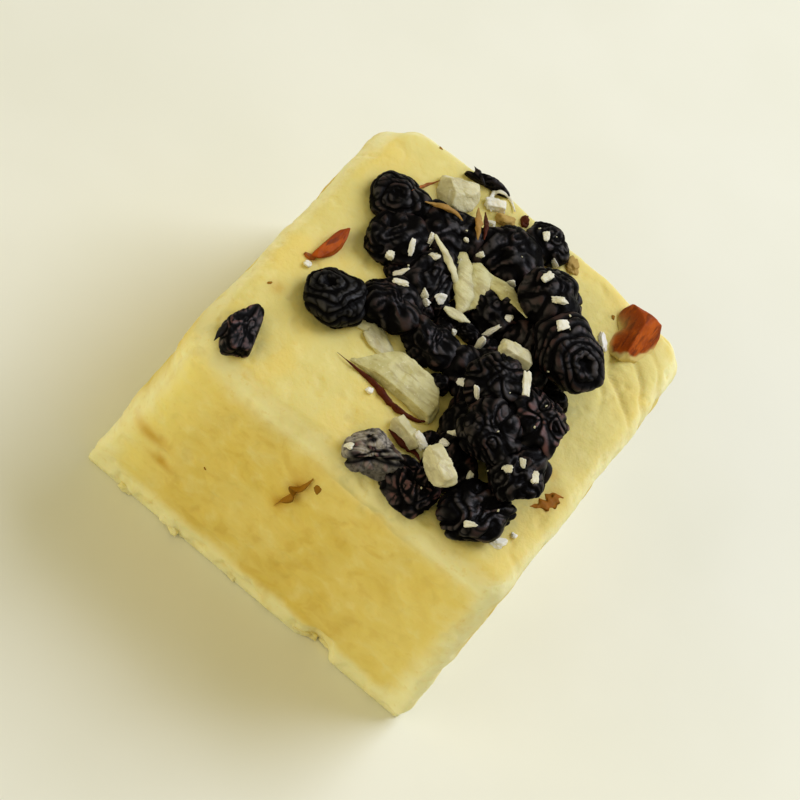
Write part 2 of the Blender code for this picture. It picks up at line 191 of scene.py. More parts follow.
class Gathered:
    """Collects small closed shapes of one kind into one mesh."""

    def __init__(self):
        self.points = []
        self.faces = []
        self.marks = {}
        self.count = 0

    def add(self, points, faces, **marks):
        """Adds a shape; a mark that isn't named is 0 on it."""
        self.points.append(np.asarray(points))
        self.faces.append(np.asarray(faces) + self.count)
        for mark, values in marks.items():
            self.marks.setdefault(mark, []).append((self.count, np.broadcast_to(values, len(points))))
        self.count += len(points)

    def make_piece(self, name, material, slot, nodes=()):
        mesh = bpy.data.meshes.new(name)
        points = keep_inside(np.concatenate(self.points))
        mesh.from_pydata(points.tolist(), [], np.concatenate(self.faces).tolist())
        marks = {mark: np.zeros(self.count) for mark in self.marks}
        for mark, runs in self.marks.items():
            for start, values in runs:
                marks[mark][start:start + len(values)] = values
        set_marks(mesh, marks)
        add_piece(name, mesh, material, nodes)


def tree_of(*heaps):
    """The surface of gathered shapes, for finding places on it."""
    points, faces, count = [], [], 0
    for heap in heaps:
        points += np.concatenate(heap.points).tolist()
        faces += (np.concatenate(heap.faces) + count).tolist()
        count += heap.count
    return BVHTree.FromPolygons(points, faces)


def drawn_seed(draw):
    return Vector([draw.uniform(0, 50) for _axis in range(3)])


def drawn_planes(draw, count, near, far):
    """Planes that face any way, each at a distance between near and far."""
    return [([draw.gauss(0, 1) for _axis in range(3)], draw.uniform(near, far)) for _plane in range(count)]


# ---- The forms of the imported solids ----


def solid_shape(node):
    """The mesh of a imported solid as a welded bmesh."""
    shape = bmesh.new()
    shape.from_mesh(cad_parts[node].data)
    bmesh.ops.remove_doubles(shape, verts=shape.verts, dist=1e-6)
    return shape


def middle_of(node):
    """Centre and half sizes of the box of a solid."""
    low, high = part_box(node)
    return (low + high) / 2, (high - low) / 2


def solid_reach(node, level, rounds):
    """Centre, half sizes, and the smoothed reach of a solid in each direction of a ball, in half sizes."""
    centre, half = middle_of(node)
    directions, _triangles, edges = ball(level)
    shape = solid_shape(node)
    tree = BVHTree.FromBMesh(shape)
    shape.free()
    reach = []
    for direction in directions * np.array(half):
        way = Vector(direction)
        distance = tree.ray_cast(centre, way.normalized())[3]
        reach.append(1.0 if distance is None else distance / way.length)
    return np.array(centre), np.array(half), smoothed(reach, edges, rounds)


def crown_of(node):
    """Way from the centre of a berry's solid to its sunken crown: the nearer of the two poles of its mesh."""
    centre, _half = middle_of(node)
    shape = solid_shape(node)
    poles = [vert.co - centre for vert in shape.verts if len(vert.link_edges) > 8]
    shape.free()
    return min(poles, key=lambda way: way.length).normalized()


# ---- Materials ----


class Graph:
    """Builds the nodes of one material. Colours are the 0 to 255 values that a screen shows."""

    def __init__(self, name):
        self.material = bpy.data.materials.new(name)
        self.material.use_nodes = True
        self.tree = self.material.node_tree
        self.shader = self.tree.nodes["Principled BSDF"]
        self.place = self.node("ShaderNodeTexCoord", "Object", {})

    def feed(self, socket, value):
        """Links an output to a socket, or sets the socket to a plain value."""
        if isinstance(value, bpy.types.NodeSocket):
            self.tree.links.new(value, socket)
        elif socket.type == "RGBA":
            socket.default_value = (*linear(*value), 1.0)
        else:
            socket.default_value = value

    def node(self, kind, output, inputs, **settings):
        """Adds a node, feeds its inputs and gives one of its outputs."""
        made = self.tree.nodes.new(kind)
        for key, value in settings.items():
            setattr(made, key, value)
        for key, value in inputs.items():
            self.feed(made.inputs[key], value)
        return made.outputs[output]

    def noise(self, size, detail=3.0, rough=0.5, stretch=None, warp=0.0):
        """Noise whose features have a size in metres; stretch gives the sizes along X, Y and Z."""
        place = self.place
        if stretch:
            scale = [size / length for length in stretch]
            place = self.node("ShaderNodeMapping", "Vector", {"Vector": place, "Scale": scale})
        inputs = {"Vector": place, "Scale": 1.0 / size, "Detail": detail, "Roughness": rough,
                  "Distortion": warp}
        return self.node("ShaderNodeTexNoise", "Fac", inputs)

    def mark(self, name):
        """A value that the mesh carries at its points."""
        return self.node("ShaderNodeAttribute", "Fac", {}, attribute_name=name)

    def step(self, value, low, high, bottom=0.0, top=1.0):
        """Takes the range low..high of a value smoothly to bottom..top."""
        inputs = {"Value": value, "From Min": low, "From Max": high, "To Min": bottom, "To Max": top}
        return self.node("ShaderNodeMapRange", "Result", inputs, interpolation_type="SMOOTHSTEP")

    def maths(self, first, second, operation="MULTIPLY"):
        return self.node("ShaderNodeMath", 0, {0: first, 1: second}, operation=operation)

    def coats(self, colour, *coats):
        """A colour with others over it, each with its share."""
        for share, coat in coats:
            colour = self.node("ShaderNodeMix", 2, {0: share, 6: colour, 7: coat}, data_type="RGBA")
        return colour

    def bump(self, height, depth, **under):
        return self.node("ShaderNodeBump", "Normal", {"Height": height, "Distance": depth, **under})

    def finish(self, **inputs):
        for key, value in inputs.items():
            self.feed(self.shader.inputs[key.replace("_", " ")], value)
        return self.material


def linear(red, green, blue):
    """Linear colour from the 0 to 255 values that a screen shows."""
    shown = [value / 255 for value in (red, green, blue)]
    return tuple(value / 12.92 if value <= 0.04045 else ((value + 0.055) / 1.055) ** 2.4 for value in shown)


def sweet_material():
    """Pressed milk sweet: pale on its top, deeper yellow and mottled in its cut sides; with paler dry edges that
    also carry a painted highlight, painted shade and some berry juice around the berries, and painted light at the
    ends of its front.
    """
    g = Graph("patisa_sweet")
    golden, amber = (238, 216, 122), (231, 205, 98)
    broad = g.noise(0.0085, 2.0)
    middle = g.noise(0.0026, warp=0.4)
    fine = g.noise(0.0007, rough=0.65)
    layered = g.noise(0.006, 2.0, stretch=(0.008, 0.008, 0.0042), warp=0.3)
    side = g.coats(golden, (g.step(layered, 0.34, 0.68, 0.1, 0.8), amber),
                   (g.step(middle, 0.5, 0.32, 0.0, 0.45), (218, 184, 76)))
    colour = g.coats(
        (228, 214, 132),
        (g.step(broad, 0.4, 0.62, 0.0, 0.85), golden),
        (g.mark("side"), side),
        # Painted light: the two ends of the front face are lighter, where light catches them
        (g.mark("painted_light"), (250, 233, 140)),
        (g.step(middle, 0.5, 0.72, 0.0, 0.35), (246, 236, 168)),
        # Pale edges: the dry rim and crumbly foot are paler, and the upright corners carry a painted highlight
        (g.maths(g.mark("edge"), g.step(middle, 0.3, 0.6, 0.6, 1.0)), (255, 247, 190)),
        (g.mark("patch"), (206, 160, 44)),
        # Painted shade around and under the berries, partly grey-olive berry juice
        (g.maths(g.mark("shade_and_juice"), g.step(middle, 0.35, 0.65, 0.25, 0.8)), (184, 176, 108)),
        (g.step(fine, 0.3, 0.42, 0.3, 0.0), amber),
    )
    return g.finish(
        Base_Color=colour,
        Roughness=g.step(fine, 0.3, 0.7, 0.5, 0.68),
        Normal=g.bump(g.noise(0.0015, 2.0), 0.0001, Normal=g.bump(g.noise(0.00042, 4.0, 0.6), 0.00007)),
        Specular_IOR_Level=0.22,
        Subsurface_Weight=0.3,
        Subsurface_Scale=0.0022,
        Subsurface_Radius=(1.0, 0.75, 0.35),
    )


def berry_material():
    """Dried berry: near black, with a painted highlight and some bloom on the crests of its folds, purple where
    its skin is thin, and some sugared, with a painted sheen.
    """
    g = Graph("dried_berry")
    valley = g.mark("valley")
    broad = g.noise(0.0021)
    fine = g.noise(0.00045, 4.0, 0.6)
    # Painted highlight on the crests of the folds, partly a grey bloom; the purple of thin skin lies on the same
    # crests
    crest_highlight = g.step(valley, 0.42, 0.02)
    thin_skin = g.maths(g.mark("purple"), g.step(broad, 0.62, 0.38, 0.15, 0.85))
    colour = g.coats(
        (7, 6, 7),
        (g.maths(crest_highlight, g.step(broad, 0.38, 0.66, 0.05, 1.0)), (47, 45, 46)),
        (g.maths(crest_highlight, thin_skin), (118, 76, 72)),
        # Sugar coat of the sugared berry, partly a painted sheen on its upper side
        (g.maths(g.mark("sugar"), g.step(fine, 0.34, 0.6, 0.35, 0.95)), (166, 159, 148)),
    )
    rough = g.maths(g.step(fine, 0.3, 0.7, 0.36, 0.52), g.step(broad, 0.3, 0.7, 0.0, 0.14), "ADD")
    return g.finish(
        Base_Color=colour,
        Roughness=g.maths(rough, g.maths(g.mark("gloss"), 0.16), "SUBTRACT"),
        Normal=g.bump(fine, 0.00006),
        Specular_IOR_Level=g.step(valley, 0.6, 0.05, 0.02, 0.24),
    )


def flesh_material():
    """Chopped almond: ivory, with faint fibres and a slightly waxy shine."""
    g = Graph("almond_flesh")
    fibres = g.noise(0.0006, stretch=(0.0022, 0.0006, 0.0006), warp=0.3)
    grains = g.noise(0.00035, rough=0.6)
    cloud = g.step(g.noise(0.0018, 2.0), 0.35, 0.65)
    colour = g.coats(
        (212, 206, 150),
        (cloud, (190, 182, 120)),
        (g.step(fibres, 0.46, 0.66, 0.0, 0.7), (164, 150, 88)),
        (g.step(grains, 0.56, 0.72, 0.0, 0.6), (226, 221, 178)),
        (g.mark("white"), g.coats((252, 250, 242), (cloud, (240, 236, 218)))),
    )
    return g.finish(
        Base_Color=colour,
        Roughness=g.step(grains, 0.3, 0.7, 0.42, 0.6),
        Normal=g.bump(grains, 0.00006, Normal=g.bump(fibres, 0.00008)),
        Subsurface_Weight=0.2,
        Subsurface_Scale=0.0012,
        Subsurface_Radius=(1.0, 0.8, 0.5),
    )


def skin_material():
    """Almond skin: red brown, with darker veins along it and a dry, dusty surface."""
    g = Graph("almond_skin")
    veins = g.noise(0.0005, stretch=(0.0005, 0.0024, 0.001), warp=0.5)
    dust = g.noise(0.0003, rough=0.65)
    colour = g.coats(
        (190, 88, 14),
        (g.step(g.noise(0.0016, 2.0), 0.36, 0.64), (154, 64, 8)),
        (g.step(veins, 0.5, 0.66, 0.0, 0.65), (98, 38, 8)),
        (g.step(dust, 0.58, 0.76, 0.0, 0.4), (202, 112, 40)),
        (g.mark("dark"), (50, 11, 2)),
        (g.mark("olive"), (150, 108, 20)),
        (g.mark("bare"), (226, 204, 132)),
    )
    return g.finish(
        Base_Color=colour,
        Roughness=g.step(dust, 0.3, 0.7, 0.45, 0.66),
        Normal=g.bump(dust, 0.00005, Normal=g.bump(veins, 0.00012)),
        Specular_IOR_Level=0.12,
    )


def floor_material():
    g = Graph("pale_floor")
    colour = g.coats((240, 241, 229), (g.step(g.noise(0.03), 0.3, 0.7), (236, 237, 223)))
    return g.finish(Base_Color=colour, Roughness=0.45, Specular_IOR_Level=0.3)


# ---- The sweet ----


def corner_nearness(side_x, side_y, x, y):
    away = math.hypot(x - side_x * WIDTH / 2, y - side_y * DEPTH / 2)
    return math.exp(-((away / CORNER_REACH) ** 2))


def edge_rounding(x, y, z):
    rim = RIM_ROUND
    for side_x, side_y, rounding, _slump in CORNERS:
        rim += (rounding - RIM_ROUND) * corner_nearness(side_x, side_y, x, y)
    return FOOT_ROUND + (rim - FOOT_ROUND) * soft_step(0.0, 0.6 * HEIGHT, z)


def top_offset(x, y):
    dome = DOME * (1 - (2 * x / WIDTH) ** 2) * (1 - (2 * y / DEPTH) ** 2)
    slump = 0.0
    for side_x, side_y, _rounding, drop in CORNERS:
        slump += drop * corner_nearness(side_x, side_y, x, y)
    return dome - slump


def relief(spot, outward):
    """The bumps, layers and crags of the solid."""
    upright = 1.0 - abs(outward.z)
    bumps = BUMP_HEIGHT * noise(spot / BUMP_SIZE + RELIEF_SEED)
    layer_spot = Vector((spot.x / LAYER_LENGTH, spot.y / LAYER_LENGTH, spot.z / LAYER_THICKNESS))
    layers = LAYER_HEIGHT * upright * noise(layer_spot - RELIEF_SEED)
    crags = CRAG_HEIGHT * noise(spot / CRAG_SIZE + 2 * RELIEF_SEED)
    foot = 1.0 - soft_step(0.0, FOOT_BAND, spot.z)
    crumble = FOOT_CRUMBLE * foot * upright * noise(spot / CRAG_SIZE - 2 * RELIEF_SEED)
    return bumps + layers + crags + crumble


def fine_relief(spot, outward):
    """Grain, pits, thin layers and the ragged fringe of the foot; nearly all of it cuts inwards."""
    upright = 1.0 - abs(outward.z)
    lift = 0.0
    for number, (size, height) in enumerate(GRAIN_SIZES):
        lift += height * (noise(spot / size + (number + 3) * RELIEF_SEED) - 0.3)
    lift -= PIT_DEPTH * soft_step(0.32, 0.55, noise(spot / PIT_SIZE - 3 * RELIEF_SEED))
    thin = Vector((spot.x / FINE_LAYER_LENGTH, spot.y / FINE_LAYER_LENGTH, spot.z / FINE_LAYER_THICKNESS))
    lift -= FINE_LAYER_HEIGHT * upright * soft_step(-0.1, 0.3, noise(thin + 4 * RELIEF_SEED))
    fringe = 1.0 - soft_step(0.5 * FRINGE_HEIGHT, FRINGE_HEIGHT, spot.z)
    ragged = noise(Vector((spot.x, spot.y, 0.6 * spot.z)) / FRINGE_SIZE + 5 * RELIEF_SEED)
    lift -= FRINGE_STEP * fringe * upright * soft_step(-0.05, 0.12, ragged)
    near = math.hypot(spot.x - CORNER_FOLD_PLACE[0], spot.y - CORNER_FOLD_PLACE[1]) / CORNER_FOLD_REACH
    across = (0.69 * spot.x + 0.73 * spot.y) / CORNER_FOLD_WIDTH
    fold = math.exp(-near ** 4) * soft_step(HEIGHT - 0.008, HEIGHT - 0.002, spot.z)
    lift -= CORNER_FOLD_DEPTH * fold * crease(across + 0.5 * noise(spot / 0.003))
    return lift


def sweet_point(cube_point):
    """Takes a point of a plain cube's surface, -1 to 1 each way, to the surface of the sweet."""
    across, along, up = cube_point
    z = HEIGHT * (up + 1) / 2
    lean = TAPER * z / HEIGHT
    half_width = WIDTH / 2 - lean
    half_depth = DEPTH / 2 - lean
    corner = Vector((across * half_width, along * half_depth, z))
    rounding = edge_rounding(*corner)
    inner = Vector((
        clamp(corner.x, rounding - half_width, half_width - rounding),
        clamp(corner.y, rounding - half_depth, half_depth - rounding),
        clamp(z, rounding, HEIGHT - rounding),
    ))
    outward = (corner - inner).normalized()
    smooth = inner + outward * rounding
    lift = 0.0 if z < FLAT_BAND else relief(smooth, outward) + fine_relief(smooth, outward)
    spot = smooth + outward * lift
    spot.z = max(spot.z + top_offset(spot.x, spot.y) * soft_step(0.4, 1.0, z / HEIGHT), 0.0)
    spot.x += LEFT_DRAW_IN * (0.5 - spot.x / WIDTH) * (0.5 + spot.y / DEPTH)
    start, full_from, full_to, end = FOOT_BITE
    bite = soft_step(start, full_from, spot.x) * soft_step(end, full_to, spot.x)
    bite *= soft_step(*FOOT_BITE_HEIGHT, spot.z) * soft_step(*FOOT_BITE_REACH, spot.y + DEPTH / 2)
    spot.y += FOOT_BITE_DEPTH * bite
    return spot, outward


def crowd_to_edges(value):
    return math.sin(value * FINE_CROWDING) / math.sin(FINE_CROWDING)


def make_sweet(material):
    shape = bmesh.new()
    bmesh.ops.create_cube(shape, size=2.0)
    for axis, cuts in enumerate(FINE_CUTS):
        along = [edge for edge in shape.edges
                 if abs((edge.verts[0].co - edge.verts[1].co).normalized()[axis]) > 0.99]
        bmesh.ops.subdivide_edges(shape, edges=along, cuts=cuts, use_grid_fill=True)
    for vert in shape.verts:
        vert.co, vert.normal = sweet_point([crowd_to_edges(value) for value in vert.co])
    foot = [face for face in shape.faces if max(vert.co.z for vert in face.verts) < FLAT_BAND]
    bmesh.ops.delete(shape, geom=foot, context="FACES")
    bmesh.ops.holes_fill(shape, edges=[edge for edge in shape.edges if edge.is_boundary], sides=0)
    outwards = np.array([vert.normal for vert in shape.verts])
    bmesh.ops.recalc_face_normals(shape, faces=shape.faces)
    mesh = bpy.data.meshes.new("sweet")
    shape.to_mesh(mesh)
    shape.free()
    points = keep_inside(np.array([vert.co for vert in mesh.vertices]))
    mesh.vertices.foreach_set("co", points.astype(np.float32).ravel())
    set_marks(mesh, sweet_marks(points, outwards))
    add_piece("sweet", mesh, material, ["patisa_body"])
    return BVHTree.FromPolygons(points.tolist(), [face.vertices for face in mesh.polygons])


def soft_steps(low, high, values):
    share = np.clip((values - low) / (high - low), 0.0, 1.0)
    return share * share * (3.0 - 2.0 * share)


def sweet_marks(points, outwards):
    """Where the sweet is a cut side, a pale edge (dry rim and foot, with a painted highlight on its corners), a
    deep yellow patch, in painted shade around a berry (partly juice), or has painted light at the ends of its
    front.
    """
    x, y, z = points.T
    front, level = -outwards[:, 1], np.abs(outwards[:, 2])
    side = soft_steps(0.75, 0.25, level) * soft_steps(HEIGHT + 0.0002, HEIGHT - 0.005, z)
    rim = np.exp(-((z - (HEIGHT - 0.0016)) / 0.0014) ** 2) * soft_steps(0.98, 0.75, level)
    foot = soft_steps(0.0038, 0.0018, z)
    from_corner = np.maximum(WIDTH / 2 - np.abs(x), DEPTH / 2 - np.abs(y))
    corner = soft_steps(0.004, 0.0012, from_corner) * (level < 0.7)
    # The pale edge: dry rim and crumbly foot, and a painted highlight on the upright corners
    edge = np.clip(0.95 * rim + 1.1 * foot + 1.05 * corner, 0.0, 1.1)
    patch = np.zeros(len(points))
    for place_x, place_z, half_x, half_z in FRONT_PATCHES:
        away = np.hypot((x - place_x) / half_x, (z - place_z) / half_z)
        patch = np.maximum(patch, np.exp(-away ** 2) * (front > 0.7))
    for place_x, place_y, reach in TOP_PATCHES:
        away = np.hypot(x - place_x, y - place_y) / reach
        patch = np.maximum(patch, 0.7 * np.exp(-away ** 2) * (outwards[:, 2] > 0.7))
    # Painted shade on the top near each berry, partly berry juice
    shade_and_juice = np.zeros(len(points))
    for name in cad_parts:
        if name.startswith("berry"):
            centre, half = middle_of(name)
            away = np.hypot(x - centre.x, y - centre.y) - half.xy.length / 1.415
            shade_and_juice = np.maximum(shade_and_juice, np.exp(-np.maximum(away, 0.0) / 0.0011) * (z > HEIGHT - 0.003))
    # Painted light: the front face is lighter towards its left end, and less so towards its right end
    ends = 0.9 * soft_steps(-0.011, -0.0185, x) + 0.45 * soft_steps(0.0085, 0.017, x)
    painted_light = soft_steps(0.45, 0.85, front) * np.clip(ends, 0.0, 1.0)
    return {"side": side, "edge": edge, "patch": 0.8 * patch, "shade_and_juice": 0.8 * shade_and_juice, "painted_light": painted_light}


# Deep yellow patches of the front face: place in X and Z, and half sizes
FRONT_PATCHES = (
    (-0.017, 0.0108, 0.0022, 0.0009),
    (-0.0145, 0.0084, 0.0016, 0.0007),
    (-0.0021, 0.0196, 0.001, 0.0024),
    (-0.0026, 0.016, 0.0009, 0.0012),
)

# Amber spots of its top: place in X and Y, and reach
TOP_PATCHES = (
    (0.0177, -0.0088, 0.0011), (0.0183, -0.0068, 0.0012), (0.0165, -0.005, 0.0009), (-0.0165, -0.0092, 0.0008),
)

# ---- The berries ----

# Berries behind this Y make one mesh, and those in front of it another
BERRY_PARTING = 0.001
# How many rounds smooth the form that a berry takes from its solid, by the fineness of its mesh
BERRY_SMOOTHING = {5: 16, 6: 64}
# How far a berry fills the box of its solid, in plan and in height
BERRY_FILL = (1.05, 1.05, 1.03)
# A berry swells towards each one that is nearer than this gap, until they touch
PRESS_GAP = 0.002
PRESS_SINK = 0.00035
PRESS_FACING = 0.45
LUMP_SIZE = 0.95
LUMP_HEIGHT = 0.16
RING_SPACING = 0.001
RING_DEPTH = 0.095
FOLD_TURNS = 5
FOLD_DEPTH = 0.025
CRUMPLE_SIZE = 0.8
CRUMPLE_TURNS = 2.1
CRUMPLE_DEPTH = 0.13
WRINKLE_SIZE = 0.3
WRINKLE_TURNS = 1.2
WRINKLE_DEPTH = 0.03
CALYX_REACH = 0.34
CALYX_DEPTH = 0.18
CALYX_LIP = 0.05
CALYX_LOBES = 5
# Softness of the edges that the planes cut, as a share of a berry's half size
CUT_SOFTNESS = 0.08
BERRY_SEED = 31
# Down in the picture; the bands of the sugared berry run across it, each with a place, a width and a depth
PICTURE_DOWN = Vector((0.644, -0.603, -0.471))
BANDS = ((0.3, 0.07, 0.16), (0.8, 0.08, 0.16))

# How strong each berry's ring folds, crumpling, purple, gloss, sugar and painted sheen, bands and sunken crown
# are;
# planes that flatten it, a direction and a distance in half sizes; a widening, a way and a factor; and its mesh's
# fineness
BERRY_USUAL = dict(level=5, rings=0.5, crumple=1.0, purple=0.25, gloss=0.15, sugar=0.0, bands=0.0, calyx=0.35,
                   planes=(), widen=None)
BERRY_LOOKS = dict(
    berry_round=dict(level=6, rings=1.0, crumple=0.2, purple=0.0, calyx=1.0),
    berry_big=dict(level=6, rings=1.0, crumple=0.3, calyx=0.9, planes=[((0.76, 0.51, 0.39), 0.88)]),
    berry_back_1=dict(level=6, rings=0.9, planes=[((-0.76, -0.51, 0.1), 0.84)]),
    berry_left_1=dict(planes=[((-0.76, -0.51, 0.0), 0.8), ((0.64, -0.6, 0.0), 0.88)]),
    berry_back_4=dict(level=6, crumple=0.6, rings=0.2, gloss=0.6, widen=(0.69, 0.73, 1.12)),
    berry_upper_4=dict(gloss=0.6, crumple=1.2, planes=[((0.64, -0.6, -0.47), 0.62)]),
    berry_third_2=dict(level=6, gloss=0.8, rings=0.2, widen=(0.69, 0.73, 1.26),
                       planes=[((0.64, -0.6, -0.47), 0.84)]),
    berry_front_right=dict(purple=1.0, crumple=1.1, rings=0.2, planes=[
        ((-0.5, -0.6, 0.6), 0.74), ((0.8, -0.3, 0.4), 0.74), ((-0.2, 0.5, 0.8), 0.7)]),
    berry_front_left=dict(level=6, sugar=1.0, crumple=0.35, purple=1.0, rings=0.0, bands=1.0, planes=[
        ((0.1, -0.55, 0.85), 0.6), ((-0.75, 0.2, 0.6), 0.7), ((0.3, 0.7, 0.6), 0.66),
        ((0.64, -0.6, -0.47), 0.86)], widen=(0.69, 0.73, 1.1)),
    berry_flat=dict(crumple=0.5, rings=0.0, purple=1.0, widen=(0.55, -0.83, 1.22), planes=[
        ((-0.8, 0.6, 0.0), 0.62), ((0.9, 0.35, 0.1), 0.66), ((0.5, -0.9, 0.0), 0.66),
        ((-0.7, -0.6, 0.1), 0.68), ((0.1, 0.1, 1.0), 0.62)]),
    berry_skin=dict(crumple=0.6, rings=0.0, gloss=0.5),
    berry_upper_1=dict(level=6),
    berry_upper_2=dict(level=6, purple=1.0),
    berry_upper_3=dict(level=6),
    berry_row_4=dict(purple=0.9),
    berry_third_1=dict(purple=0.8),
    berry_second_2=dict(purple=0.9),
)
NOT_ROUND = ("berry_flat", "berry_skin")

# Scraps of the fruit close the heap between berries: their grid and half sizes, how near three berries must be
# and how low the heap must lie there
SCRAP_STEP = 0.0015
SCRAP_HALF = (0.0015, 0.0012, 0.0014)
SCRAP_NEAR = 0.0049
SCRAP_LOW = 0.0013
SCRAP_LEVEL = 4
SCRAP_LOOK = {**BERRY_USUAL, "rings": 0.0}
# More scraps in the gaps of the ring, in X and Y
MORE_SCRAPS = ((-0.0042, 0.0002), (-0.003, 0.0016), (-0.0014, 0.0002), (-0.0012, 0.0034), (0.0009, 0.0017),
               (0.0112, 0.0032), (0.0124, 0.0022))
# Strips of berry skin: view places with the height above the top, half width, and flatness
SKIN_STRIPS = (
    (((13.8, -5.3, 3.5), (14.8, -4.6, 3.0), (15.8, -4.8, 2.4), (16.4, -6.0, 2.0), (16.5, -7.0, 1.6)), 0.5, 0.7),
    (((-7.9, 19.2, 0.8), (-7.2, 20.0, 0.9), (-6.2, 20.2, 0.8), (-5.2, 20.1, 0.5)), 0.32, 0.875),
    (((-7.6, 18.8, 0.8), (-8.9, 19.5, 0.6), (-9.8, 19.9, 0.4)), 0.32, 0.875),
    (((-17.4, -15.2, 0.9), (-17.7, -17.4, 0.6), (-17.7, -19.4, 0.3)), 0.5, 0.7),
)


def cut_reach(direction, reach, planes, softness):
    """Shortens the reach of a unit shape where planes cut it, with soft edges."""
    for outward, distance in planes:
        outward = Vector(outward).normalized()
        facing = direction.dot(outward)
        if facing > 0.05:
            over = reach - distance / facing
            reach -= 0.5 * (over + math.sqrt(over * over + softness * softness))
    return reach


def wrinkled(centre, half, reach, crown, look, seed, level):
    """Points of a dried berry, how deep each lies in a fold, and how much sugar and painted sheen it has."""
    size = float(np.mean(half))
    directions, triangles, _edges = ball(level)
    to_crown = crown.rotation_difference(UP)
    points = []
    valleys = []
    sugar_and_sheen_values = []
    for direction, share in zip(directions, reach):
        direction = Vector(direction)
        way = Vector(np.array(direction) * half)
        local = to_crown @ way.normalized()
        polar = math.acos(clamp(local.z, -1.0, 1.0))
        around = math.atan2(local.y, local.x)
        warp = noise(1.5 * local + seed)
        ringed = soft_step(0.75 - 1.5 * look["rings"], 1.05 - 1.5 * look["rings"], noise(1.1 * local - seed))
        rings = crease(polar * size / RING_SPACING + 0.8 * warp)
        folds = crease(around * FOLD_TURNS / math.tau + 1.3 * noise(1.7 * local + 2 * seed))
        drawn = Vector((1.35 * local.x, 0.65 * local.y, 1.35 * local.z))
        crumple = crease(CRUMPLE_TURNS * noise(drawn / CRUMPLE_SIZE + 3 * seed))
        wrinkle = crease(WRINKLE_TURNS * noise(local / WRINKLE_SIZE - 2 * seed))
        valley = RING_DEPTH * ringed * rings * soft_step(0.35, 0.55, polar)
        valley += FOLD_DEPTH * (1 - 0.85 * ringed) * folds * math.sin(polar) ** 2
        valley += CRUMPLE_DEPTH * look["crumple"] * (1 - 0.7 * ringed) * crumple
        valley += WRINKLE_DEPTH * wrinkle
        down = direction.dot(PICTURE_DOWN)
        for place, width, depth in BANDS:
            valley += look["bands"] * depth * math.exp(-((down - place + 0.1 * warp) / width) ** 2)
        lobed = CALYX_REACH * (1.0 + 0.16 * math.cos(CALYX_LOBES * around + 3 * warp))
        calyx = look["calyx"] * CALYX_DEPTH * soft_step(lobed, 0.45 * lobed, polar)
        lip = look["calyx"] * CALYX_LIP * math.exp(-((polar - 1.3 * lobed) / 0.11) ** 2)
        swell = LUMP_HEIGHT * look["crumple"] * noise(local / LUMP_SIZE + 5 * seed)
        whole = cut_reach(direction, share + swell, look["planes"], CUT_SOFTNESS)
        points.append(centre + np.array(way) * (whole - valley - calyx + lip))
        valleys.append(clamp(math.sqrt((valley + calyx) / 0.14), 0.0, 1.0))
        # Streaks of sugar on the sugared berry, with a painted sheen on its upper side in the picture
        streak = noise(Vector((2.8 * direction.x, 2.8 * direction.y, 4.0 * down)) + 4 * seed)
        upper = soft_step(-0.32, 0.3, streak) * soft_step(0.36, 0.18, down)
        sugar_and_sheen_values.append(look["sugar"] * (upper + 0.35 * soft_step(0.36, 0.48, down)))
    return np.array(points), triangles, valleys, sugar_and_sheen_values


def fill_box(points, centre, half):
    """Stretches a berry to fill the box of its solid, and a little more."""
    low, high = points.min(0), points.max(0)
    return centre + (points - (low + high) / 2) * (2 * np.array(BERRY_FILL) * half / (high - low))


def pressed(node, points, centre, sizes):
    """Swells a berry towards the ones beside it."""
    own = sizes[node][1]
    ways = points - centre
    lengths = np.linalg.norm(ways, axis=1)
    more = np.zeros(len(points))
    for other, (place, size) in sizes.items():
        to_other = place - centre
        distance = np.linalg.norm(to_other)
        gap = distance - own - size
        if other != node and gap < PRESS_GAP:
            facing = soft_steps(PRESS_FACING, 1.0, ways @ to_other / (lengths * distance))
            more = np.maximum(more, facing * (0.5 * max(gap, 0.0) + PRESS_SINK))
    return points + ways * (more / lengths)[:, None]


def berry_points(node, seed, draw, sizes):
    """One berry: the form of its solid with its folds, lying against the berries beside it."""
    look = {**BERRY_USUAL, **BERRY_LOOKS.get(node, {})}
    flats = drawn_planes(draw, 3, 0.76, 0.92)
    if look["crumple"] > 0.4:
        look["planes"] = [*look["planes"], *flats]
    level = look["level"]
    centre, half, reach = solid_reach(node, level, BERRY_SMOOTHING[level])
    crown = crown_of(node) if node != "berry_skin" else UP
    points, triangles, valleys, sugar_and_sheen_values = wrinkled(centre, half, reach, crown, look, seed, level)
    points = fill_box(points, centre, half)
    if look["widen"]:
        way = np.array((*look["widen"][:2], 0.0))
        points += np.outer((points - centre) @ way, way) * (look["widen"][2] - 1.0) / (way @ way)
    if node in sizes:
        points = pressed(node, points, centre, sizes)
    points[:, 2] -= max(points[:, 2].max() - CAD_HIGH.z + 0.0001, 0.0)
    return points, triangles, valleys, sugar_and_sheen_values, look


def scrap_places(tree, sizes):
    """Low places between three or more berries, on a grid."""
    spots = np.array([centre[:2] for centre, _size in sizes.values()])
    places = []
    for across in np.arange(-0.016, 0.018, SCRAP_STEP):
        for along in np.arange(-0.021, 0.02, SCRAP_STEP):
            spot = np.array((across, along))
            near = np.sum(np.linalg.norm(spots - spot, axis=1) < SCRAP_NEAR)
            surface, _normal = laid_on(tree, across, along)
            if near >= 3 and (surface is None or surface.z < HEIGHT + SCRAP_LOW):
                places.append(spot)
    return places + [np.array(spot) for spot in MORE_SCRAPS]


